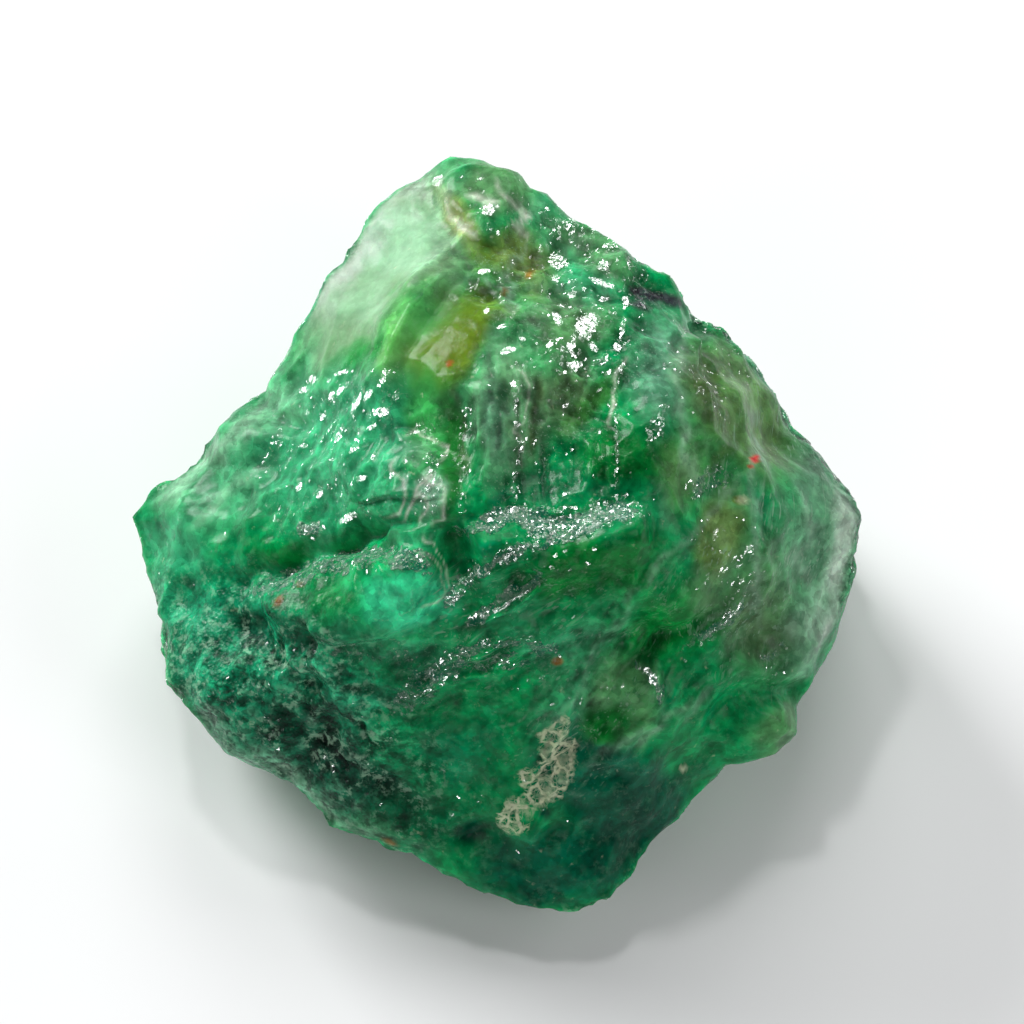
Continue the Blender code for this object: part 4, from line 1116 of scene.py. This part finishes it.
# %% [markdown]
# ## The mesh
#
# The points and quads become one mesh, handed over as whole arrays, which takes no time at all. The paint
# goes with it as a colour on every point, and each kind of skin as a number, for the finish to read.

# %% The mesh
def stone_mesh(name, points, quads):
    mesh = bpy.data.meshes.new(name)
    mesh.vertices.add(len(points))
    mesh.vertices.foreach_set("co", (points * MM).astype(np.float32).ravel())
    mesh.loops.add(quads.size)
    mesh.loops.foreach_set("vertex_index", quads.astype(np.int32).ravel())
    mesh.polygons.add(len(quads))
    mesh.polygons.foreach_set("loop_start", np.arange(0, quads.size, 4, dtype=np.int32))
    mesh.update(calc_edges=True)
    mesh.validate()
    mesh.shade_smooth()
    return mesh


def add_colour(mesh, name, colours):
    layer = mesh.attributes.new(name, "FLOAT_COLOR", "POINT")
    rgba = np.column_stack([colours, np.ones(len(colours))])
    layer.data.foreach_set("color", rgba.astype(np.float32).ravel())


def add_number(mesh, name, numbers):
    layer = mesh.attributes.new(name, "FLOAT", "POINT")
    layer.data.foreach_set("value", numbers.astype(np.float32))


mesh = stone_mesh("raw_fluorite_skin", stone_points, quads)
add_colour(mesh, "tint", tint)
numbers = {
    "frost": frosted,
    "crumb": shares["crumbly"],
    "veil": shares["veiled"],
    "strings": shares["stringy"],
    "slant": shares["slanting"],
    "dust": np.maximum.reduce([shares[name] for name in ("grooved", "slanting", "pitted", "sparkling")]),
    "calm": shares["calm"],
    "net": net_share(sheet_points) * shares["shows"],
    "large_flash": large_share * shares["shows"],
    "small_flash": small_share * shares["shows"],
    "facet": flat_facets(sheet_points) * shares["shows"],
}
for name, values in numbers.items():
    add_number(mesh, name, values)
stone = bpy.data.objects.new("raw_fluorite_skin", mesh)
bpy.context.scene.collection.objects.link(stone)
print("points:", len(mesh.vertices), "numbers on each:", len(numbers))

# %% [markdown]
# ## Words for wiring
#
# A material is a small machine of nodes. Built by hand it takes many lines that all look alike, so this
# cell gives each kind of step a short word. Every step reads places on the stone itself, or a number that
# the mesh carries, so that the finish stays put however the stone is turned. Sizes are given in
# millimetres here too, and the words turn them into metres.

# %% Wiring helpers
class Wires:
    """Short words for the steps of one material: each makes a node and gives back its output."""

    def __init__(self, material):
        material.use_nodes = True
        self.nodes, self.links = material.node_tree.nodes, material.node_tree.links
        self.where = self.nodes.new("ShaderNodeTexCoord").outputs["Object"]

    def feed(self, value, socket):
        """Links an output to a socket, or sets the socket to a number or a colour."""
        if hasattr(value, "is_linked"):
            self.links.new(value, socket)
        elif isinstance(value, tuple) and len(socket.default_value) == 4:
            socket.default_value = (*value, 1.0)
        else:
            socket.default_value = value

    def step(self, kind, output, values, **settings):
        node = self.nodes.new("ShaderNode" + kind)
        for name, setting in settings.items():
            setattr(node, name, setting)
        for name, value in values.items():
            self.feed(value, node.inputs[name])
        return node.outputs[output]

    def number(self, operation, first, second=0.0):
        return self.step("Math", "Value", {0: first, 1: second}, operation=operation)

    def product(self, first, *others):
        for other in others:
            first = self.number("MULTIPLY", first, other)
        return first

    def added(self, first, second):
        return self.number("ADD", first, second)

    def highest(self, first, second):
        return self.number("MAXIMUM", first, second)

    def swing(self, value, amount):
        """Noise from 0 to 1 made to swing about nought, by half the amount each way."""
        return self.product(self.added(value, -0.5), amount)

    def eased(self, shade, share):
        """The shade where the share is 1, and no shade at all where it is 0: 1 + share (shade - 1)."""
        return self.added(1.0, self.product(share, self.added(shade, -1.0)))

    def vector(self, operation, first, second=(0.0, 0.0, 0.0)):
        return self.step("VectorMath", "Vector", {0: first, 1: second}, operation=operation)

    def scaled(self, vector, amount):
        return self.step("VectorMath", "Vector", {0: vector, "Scale": amount}, operation="SCALE")

    def parts(self, vector):
        node = self.nodes.new("ShaderNodeSeparateXYZ")
        self.feed(vector, node.inputs["Vector"])
        return node.outputs["X"], node.outputs["Y"], node.outputs["Z"]

    def spread(self, value, low, high, to_low=0.0, to_high=1.0):
        """Runs smoothly from to_low at low to to_high at high."""
        limits = {"Value": value, "From Min": low, "From Max": high, "To Min": to_low, "To Max": to_high}
        return self.step("MapRange", "Result", limits, interpolation_type="SMOOTHSTEP")

    def blend(self, share, under, over):
        return self.step("Mix", 2, {0: share, 6: under, 7: over}, data_type="RGBA")

    def laid(self, share, under, name):
        """A colour laid over another by its name."""
        return self.blend(share, under, tuple(COLOURS[name]))

    def attribute(self, name, output="Fac"):
        return self.step("Attribute", output, {}, attribute_name=name)

    def noise(self, size, detail=3.0, roughness=0.5, places=None, output="Fac"):
        """Noise from 0 to 1 with lumps of this size, finer and rougher with more detail."""
        values = {"Vector": places or self.where, "Scale": 1.0 / (size * MM)}
        values.update({"Detail": detail, "Roughness": roughness})
        return self.step("TexNoise", output, values)

    def noise_way(self, size, detail=2.0):
        """A vector that wanders about nought, half a unit each way."""
        return self.vector("SUBTRACT", self.noise(size, detail, output="Color"), (0.5, 0.5, 0.5))

    def strayed(self, places, size, far):
        """Places led astray by noise of this size, half of far each way."""
        return self.vector("ADD", places, self.scaled(self.noise_way(size), far * MM))

    def cells(self, size, output, places, feature="F1"):
        """Cells of this size, each with a random colour, or the distance to its middle or its edge."""
        values = {"Vector": places, "Scale": 1.0 / (size * MM)}
        return self.step("TexVoronoi", output, values, feature=feature)

    def turned(self, turn, along, across=1.0):
        """Places read along a direction in the sheet, stretched along it."""
        node = self.nodes.new("ShaderNodeMapping")
        node.vector_type = "TEXTURE"
        node.inputs["Rotation"].default_value = (LEAN, 0.0, math.radians(turn))
        node.inputs["Scale"].default_value = (along, across, across)
        self.links.new(self.where, node.inputs["Vector"])
        return node.outputs["Vector"]


print("kinds of step:", len([name for name in vars(Wires) if not name.startswith("_")]))

# %% [markdown]
# ## Clouds and cells in the skin
#
# The painted colour is far too even by itself. Real fluorite is cloudy, and cracked into small crystals
# that each let through a little more light or a little less. Noise gives the clouds. Cells give each
# crystal and each wide flake one shade of its own, and some of them are deep teal pools.

# %% Clouds and cells
CLOUD_SIZE, CRYSTAL_SIZE, FLAKE_SIZE, POOL_SIZE = 1.1, 0.42, 1.0, 1.7  # mm
CLOUD_SHADES, CRYSTAL_SHADES, FLAKE_SHADES = (0.74, 1.24), (0.84, 1.16), (0.86, 1.12)  # darkest, lightest
FLAKE_TURN, FLAKE_STRETCH = 50.0, 1.6
POOL_STRENGTH = 0.25


def clouded(w, colour, rugged):
    """Noise, small cells and wide flakes darken and lighten the colour, less on the calm face."""
    cloud = w.spread(w.noise(CLOUD_SIZE, 5.0, 0.62), 0.34, 0.66, *CLOUD_SHADES)
    dice, more_dice, _ = w.parts(w.cells(CRYSTAL_SIZE, "Color", w.strayed(w.where, 0.5, 0.5)))
    crystal = w.spread(dice, 0.0, 1.0, *CRYSTAL_SHADES)
    wide = w.strayed(w.turned(FLAKE_TURN, FLAKE_STRETCH), 0.6, 0.6)
    flake, _, _ = w.parts(w.cells(FLAKE_SIZE, "Color", wide))
    shade = w.product(cloud, crystal, w.spread(flake, 0.0, 1.0, *FLAKE_SHADES))
    colour = w.scaled(colour, w.eased(shade, rugged))
    pools = w.spread(w.noise(POOL_SIZE, 3.0, 0.6), 0.42, 0.6)
    deep = w.product(w.spread(more_dice, 0.55, 1.0), pools, rugged, POOL_STRENGTH)
    return w.laid(deep, colour, "deep teal")


print("shades of one crystal:", CRYSTAL_SHADES)

# %% [markdown]
# ## Pale threads
#
# Old cracks that healed show as pale threads and veils, and all of those in one veil run the same way.
# Noise that is stretched far along one direction looks just like them. Fine noise gives the threads, and
# wider noise the streaks between them. A soft mask lets both come and go.

# %% Pale threads
THREADS = (  # which skin, turn in the sheet, how strong
    ("veil", 84.0, 0.5),
    ("strings", 57.0, 0.3),
    ("slant", 34.0, 0.45),
)
STREAK_SIZE, STREAK_STRETCH, STREAK_STRENGTH = 0.36, 14.0, 0.5
THREAD_SIZE, THREAD_STRETCH, THREAD_TURN = 0.19, 26.0, 5.0  # the threads cross the streaks at this turn
THREAD_MASK_SIZE = 1.8  # mm between where they come and where they go


def threaded(w, colour):
    """Pale threads and wide streaks, both noise stretched far along their way."""
    for name, turn, strength in THREADS:
        mask = w.product(w.attribute(name), w.spread(w.noise(THREAD_MASK_SIZE, 2.0), 0.42, 0.6))
        streak = w.noise(STREAK_SIZE, 3.0, 0.6, w.turned(turn, STREAK_STRETCH))
        streak = w.product(w.spread(streak, 0.54, 0.68), STREAK_STRENGTH)
        thread = w.noise(THREAD_SIZE, 1.0, 0.5, w.turned(turn + THREAD_TURN, THREAD_STRETCH))
        share = w.product(mask, w.highest(streak, w.spread(thread, 0.6, 0.68)), strength)
        colour = w.laid(share, colour, "veil")
    return colour


print("kinds of thread:", len(THREADS))

# %% [markdown]
# ## The lace of the net
#
# The distance to the border of a cell is nought on the walls between cells, so all that is near a border
# makes a net, as a film of soap does between its bubbles. Two nets are laid together, one of wide holes and
# one of fine threads, and noise makes the walls thick here and broken there.

# %% The cream net
NET_TURN, NET_STRETCH = 60.0, 1.35
WIDE_HOLES, NARROW_HOLES = 0.72, 0.27  # mm
WALL_UNEVEN = -0.16  # how much noise moves the walls' edges
THREAD_OF_NET, FILM_OF_NET = 0.6, 0.5  # how strong the fine threads and the film are beside the walls
NET_RAGGED = 1.4  # how much noise eats into the edges of the net


def netted(w, colour):
    """Cream walls round holes: all that is near a border of wide cells, and fine threads near narrow ones."""
    bent = w.strayed(w.turned(NET_TURN, NET_STRETCH), 0.6, 0.5)
    apart = w.cells(WIDE_HOLES, "Distance", bent, "DISTANCE_TO_EDGE")
    apart = w.added(apart, w.product(w.noise(0.4, 3.0), WALL_UNEVEN))
    wall = w.spread(apart, -0.03, 0.07, 1.0, 0.0)
    fine = w.cells(NARROW_HOLES, "Distance", bent, "DISTANCE_TO_EDGE")
    fine = w.spread(fine, 0.0, 0.16, THREAD_OF_NET, 0.0)
    film = w.product(w.spread(w.noise(0.7, 3.0), 0.48, 0.62), FILM_OF_NET)
    strong = w.spread(w.noise(0.3, 3.0), 0.3, 0.6, 0.45, 0.95)
    ragged = w.spread(w.added(w.attribute("net"), w.swing(w.noise(0.5), NET_RAGGED)), 0.2, 0.6)
    fine = w.product(fine, w.spread(apart, 0.3, 0.1))
    cream = w.product(w.highest(wall, w.highest(film, fine)), ragged, strong)
    return w.laid(cream, colour, "cream")


print("holes of the net, mm:", WIDE_HOLES, "and", NARROW_HOLES)

# %% [markdown]
# ## Grit, dust and sugar
#
# A crumbly skin is made of grains, so its colour changes from grain to grain, with pale clumps and with
# dark spots of painted shade, as in crevices. Pale dust of crushed stone lies in every groove. Where an
# edge was rubbed, the skin is a crust of crushed grains, grey like sugar, with white specks of painted
# glint in it.

# %% Grit, dust and sugar
GRIT_EVERYWHERE = 0.12  # how gritty the skin is that isn't crumbly at all
# the pits of the grit are spots of painted shade
GRAIN_OF_GRIT, SHADED_PIT_OF_GRIT, CLUMP_OF_GRIT = 0.3, 0.8, 1.2  # mm
GRAIN_SHADES, PAINTED_PIT_SHADES = (0.6, 1.15), (0.3, 1.1)  # darkest, lightest
CLUMP_STRENGTH, DUST_STRENGTH = 0.6, 0.3
SUGAR_LEAST, SUGAR_GRAINS = 0.5, 0.45  # how strong the sugar is between its grains, and what they add


def gritted(w, colour, crumb):
    """Dark and pale grains, spots of painted shade and pale clumps, all of them strongest in the crumbly
    skin.
    """
    gritty = w.added(GRIT_EVERYWHERE, w.product(crumb, 1.0 - GRIT_EVERYWHERE))
    dice, _, _ = w.parts(w.cells(GRAIN_OF_GRIT, "Color", w.strayed(w.where, 0.3, 0.3)))
    # painted shade, in spots by noise, for the crevices of the crumbly skin
    pits = w.spread(w.noise(SHADED_PIT_OF_GRIT, 4.0, 0.65), 0.36, 0.56, *PAINTED_PIT_SHADES)
    shade = w.product(w.spread(dice, 0.0, 0.6, *GRAIN_SHADES), pits)
    colour = w.scaled(colour, w.eased(shade, gritty))
    clumps = w.spread(w.noise(CLUMP_OF_GRIT, 2.0), 0.45, 0.6)
    clumps = w.product(clumps, w.spread(w.noise(0.4, 4.0, 0.65), 0.47, 0.62))
    return w.laid(w.product(gritty, clumps, CLUMP_STRENGTH), colour, "frost")


def dusted(w, colour):
    """Fine pale dust in drifts, where the mesh asks for it."""
    dust = w.product(w.spread(w.noise(0.14, 2.0, 0.6), 0.57, 0.7), w.spread(w.noise(1.6), 0.42, 0.6))
    return w.laid(w.product(dust, w.attribute("dust"), DUST_STRENGTH), colour, "frost")


def sugared_with_painted_glints(w, colour, frost):
    """Slate and grey grains with white specks of painted glint over the colour, on the frosted skin."""
    grains = w.spread(w.noise(0.2, 3.0, 0.7), 0.38, 0.6)
    greyer = w.spread(w.noise(0.5, 4.0, 0.65), 0.4, 0.6)
    grey = w.laid(greyer, tuple(COLOURS["slate green"]), "sugar")
    # white specks of painted glint on the sugary grey
    grey = w.laid(w.spread(w.noise(0.13, 2.0, 0.6), 0.56, 0.66, 0.0, 0.7), grey, "white")
    return w.blend(w.product(frost, w.added(SUGAR_LEAST, w.product(grains, SUGAR_GRAINS))), colour, grey)


print("grains of grit, mm:", GRAIN_OF_GRIT)

# %% [markdown]
# ## Glints
#
# Broken fluorite glitters because thousands of tiny cleavage faces are parallel. They look one way, so
# they all throw the lamp at the eye together. A clear coat does this: it is there only in the cells
# that flash, each leaning a little its own way, and nowhere else.

# %% Glints
LAMP = (116.0, 64.0)  # turn and height of the small lamp that makes the stone glitter


def way_to(turn, height):
    """A direction seen from above: turned from +x towards +y, then raised."""
    turn, height = math.radians(turn), math.radians(height)
    return Vector((math.cos(turn) * math.cos(height), math.sin(turn) * math.cos(height), math.sin(height)))


SHEET_OUT = Vector((0.0, -math.sin(LEAN), math.cos(LEAN)))
FLASH = tuple((way_to(*LAMP) + SHEET_OUT).normalized())  # the one way that the cleavage faces look
LARGE_FACE, SMALL_FACE = (0.36, 1.7), (0.16, 1.4)  # size in mm, and how much longer than wide
FACE_TURN = 62.0
FACE_LEAN, FLAT_LEAN, GRAIN_LEAN = 0.2, 0.05, 0.22  # how far small faces, drawn faces and their grain lean
FACET_RAGGED = 1.3  # how much noise eats into the edges of the drawn faces
COAT_ROUGHNESS, COAT_IOR = 0.15, 2.0


def flashing(w, face, share):
    """Cells of one size: how strongly each of those that flash does, and the lean of each."""
    size, stretch = face
    bent = w.strayed(w.turned(FACE_TURN, stretch), 0.4, 0.28)
    lean = w.vector("SUBTRACT", w.cells(size, "Color", bent), (0.5, 0.5, 0.5))
    dice, more_dice, _ = w.parts(lean)
    chosen = w.number("LESS_THAN", w.added(dice, 0.5), share)
    strong = w.spread(w.added(more_dice, 0.5), 0.0, 1.0, 0.12, 0.9)
    inside = w.spread(w.cells(size, "Distance", bent, "DISTANCE_TO_EDGE"), 0.02, 0.12)
    return w.product(chosen, strong, inside), lean


def glinting(w, shader):
    """Sets the coat: its weight is 0 between the glints, and its normal is the flash way and a lean."""
    large, large_lean = flashing(w, LARGE_FACE, w.attribute("large_flash"))
    small, small_lean = flashing(w, SMALL_FACE, w.attribute("small_flash"))
    ragged = w.added(w.attribute("facet"), w.swing(w.noise(0.22, 2.0, 0.6), FACET_RAGGED))
    flat = w.spread(ragged, 0.0, 0.16)
    shine = w.product(flat, w.spread(w.noise(0.28, 2.0), 0.34, 0.6, 0.2, 0.8))
    w.feed(w.highest(shine, w.highest(large, small)), shader.inputs["Coat Weight"])
    shader.inputs["Coat Roughness"].default_value = COAT_ROUGHNESS
    shader.inputs["Coat IOR"].default_value = COAT_IOR
    lean = w.scaled(w.vector("ADD", large_lean, small_lean), w.spread(flat, 0.0, 1.0, FACE_LEAN, FLAT_LEAN))
    lean = w.vector("ADD", lean, w.scaled(w.noise_way(0.12), GRAIN_LEAN))
    w.feed(w.vector("NORMALIZE", w.vector("ADD", FLASH, lean)), shader.inputs["Coat Normal"])


print("flash way:", [round(part, 2) for part in FLASH])

# %% [markdown]
# ## The finish
#
# Light goes into the stone and comes out near by, green and soft, which is what makes it look wet and
# deep. Frosted and crumbly skin lets less light in, so it looks drier. A fine bump roughens only those.

# %% Finish
FLUORITE_IOR, SHINE = 1.434, 0.12  # how much it bends light, and how much the skin mirrors
WET_ROUGHNESS, FROST_ROUGHNESS = 0.22, 0.2  # of the glassy skin, and what frost adds
LIGHT_IN, LIGHT_KEPT_OUT = 0.8, -0.65  # how much light goes in, and what rough skin takes from that
LIGHT_REACH, REACH_BY_COLOUR = 0.7, (0.35, 1.0, 0.6)  # mm, and the share of red, green and blue light
CALM_RUGGED = -0.75  # what calm skin takes from the clouds and cells
FROST_RAGGED = 1.1  # how much noise eats into the frosted skin
BUMP_DEPTH, BUMP_STRENGTH = 0.05, 0.7  # mm, and how strong
GLASSY_BUMP, ROUGH_BUMP = 0.12, 1.6  # the share of it on glassy skin, and what rough skin adds


def fluorite_finish():
    material = bpy.data.materials.new("green_fluorite")
    w = Wires(material)
    shader = w.nodes["Principled BSDF"]
    ragged = w.swing(w.noise(0.28, 3.0, 0.6), FROST_RAGGED)
    frost = w.spread(w.added(w.attribute("frost"), ragged), 0.3, 0.62)
    crumb = w.attribute("crumb")
    rugged = w.added(1.0, w.product(w.attribute("calm"), CALM_RUGGED))
    colour = clouded(w, w.attribute("tint", "Color"), rugged)
    colour = gritted(w, netted(w, threaded(w, colour)), crumb)
    w.feed(sugared_with_painted_glints(w, dusted(w, colour), frost), shader.inputs["Base Color"])
    w.feed(w.added(WET_ROUGHNESS, w.product(frost, FROST_ROUGHNESS)), shader.inputs["Roughness"])
    shader.inputs["IOR"].default_value = FLUORITE_IOR
    shader.inputs["Specular IOR Level"].default_value = SHINE
    rough_skin = w.highest(frost, crumb)
    w.feed(w.added(LIGHT_IN, w.product(rough_skin, LIGHT_KEPT_OUT)), shader.inputs["Subsurface Weight"])
    shader.inputs["Subsurface Radius"].default_value = REACH_BY_COLOUR
    shader.inputs["Subsurface Scale"].default_value = LIGHT_REACH * MM
    glinting(w, shader)
    grain = w.added(w.noise(0.22, 3.0, 0.65), w.cells(0.2, "Distance", w.where))
    height = w.product(grain, w.added(w.product(rough_skin, ROUGH_BUMP), GLASSY_BUMP))
    bump = {"Strength": BUMP_STRENGTH, "Distance": BUMP_DEPTH * MM, "Height": height}
    w.feed(w.step("Bump", "Normal", bump), shader.inputs["Normal"])
    return material


stone.data.materials.append(fluorite_finish())
print("steps in the finish:", len(stone.data.materials[0].node_tree.nodes))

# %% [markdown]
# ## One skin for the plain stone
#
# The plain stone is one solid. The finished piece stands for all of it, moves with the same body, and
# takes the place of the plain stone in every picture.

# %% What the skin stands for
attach(stone, "root")
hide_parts("raw_fluorite")
print("the skin stands for the plain stone:", stone.name)

# %% [markdown]
# ## The floor
#
# The stone lies on plain white paper. Paper is matt and a little grey, so that it can still show a
# shadow, and it sends some light back up under the overhanging edges.

# %% Floor
PAPER_SIZE = 1.6  # metres, far past the edges of the picture
PAPER_COLOUR, PAPER_ROUGHNESS = (0.84, 0.845, 0.85, 1.0), 0.8

bpy.ops.mesh.primitive_plane_add(size=PAPER_SIZE)
floor = bpy.context.object
floor.name = "floor"
paper = bpy.data.materials.new("white_paper")
paper.use_nodes = True
paper.node_tree.nodes["Principled BSDF"].inputs["Base Color"].default_value = PAPER_COLOUR
paper.node_tree.nodes["Principled BSDF"].inputs["Roughness"].default_value = PAPER_ROUGHNESS
floor.data.materials.append(paper)
print("paper, m:", round(floor.dimensions.x, 2))

# %% [markdown]
# ## The camera
#
# The camera looks straight at the show side, from nearly half a metre away, so the stone looks the way it
# would through a macro lens. The lens is worked out from the width that the picture should cover there.

# %% Camera
SHEET_UP = Vector((0.0, math.cos(LEAN), math.sin(LEAN)))
SHEET_MIDDLE = Vector((-MIDDLE[0], -MIDDLE[1], UNDER - REST_CUT)) * MM
PICTURE_WIDTH = 51.2 * MM
PICTURE_MIDDLE = (0.7, 1.3)  # u and v of the picture's middle
DISTANCE = 0.45  # metres
NEAREST = 0.01  # metres: the camera sees nothing closer than this


def looking(thing, place, target):
    """Puts a camera or a light at a place, turned to look at the target."""
    thing.location = place
    thing.rotation_euler = (place - target).to_track_quat("Z", "Y").to_euler()


target = SHEET_MIDDLE + Vector((PICTURE_MIDDLE[0] * MM, 0.0, 0.0)) + SHEET_UP * PICTURE_MIDDLE[1] * MM
camera_data = bpy.data.cameras.new("camera")
camera_data.lens = camera_data.sensor_width * DISTANCE / PICTURE_WIDTH
camera_data.clip_start = NEAREST
camera = bpy.data.objects.new("camera", camera_data)
bpy.context.scene.collection.objects.link(camera)
looking(camera, target + SHEET_OUT * DISTANCE, target)
bpy.context.scene.camera = camera
print("lens, mm:", round(camera_data.lens))

# %% [markdown]
# ## The lights
#
# A big soft window stands low on the upper left, and it draws the shadow. The walls and the paper give a
# little light back from each side. One small lamp, high up, is there for the glints: a small lamp makes
# small sharp sparks, where a big window would only make the stone look wet.

# %% Lights
LIGHTS = {  # turn and height in degrees, distance and size in metres, watts
    "lamp": (*LAMP, 0.30, 0.03, 0.16),
    "window": (135.0, 28.0, 0.55, 0.22, 3.4),
    "sky over the far wall": (84.0, 45.0, 0.40, 0.20, 0.56),
    "near wall": (262.0, 25.0, 0.40, 0.20, 0.22),
    "wall on the left": (215.0, 25.0, 0.40, 0.20, 0.22),
    "wall on the right": (20.0, 25.0, 0.40, 0.20, 0.24),
    "paper on the right": (322.0, 35.0, 0.14, 0.06, 0.045),
}
ROOM_COLOUR, ROOM_STRENGTH = (0.93, 0.96, 1.0, 1.0), 0.04

for name, (turn, height, distance, size, watts) in LIGHTS.items():
    data = bpy.data.lights.new(name, "AREA")
    data.shape = "SQUARE"
    data.size = size
    data.energy = watts
    light = bpy.data.objects.new(name, data)
    bpy.context.scene.collection.objects.link(light)
    looking(light, SHEET_MIDDLE + way_to(turn, height) * distance, SHEET_MIDDLE)
world = bpy.data.worlds.new("room")
world.use_nodes = True
world.node_tree.nodes["Background"].inputs["Color"].default_value = ROOM_COLOUR
world.node_tree.nodes["Background"].inputs["Strength"].default_value = ROOM_STRENGTH
bpy.context.scene.world = world
bpy.context.scene.view_settings.view_transform = "Standard"
print("lights:", len(bpy.data.lights))

# %% [markdown]
# ## The size of the finished stone
#
# The fine stone has to fit the plain one like a skin. Both boxes are written down, to be compared.
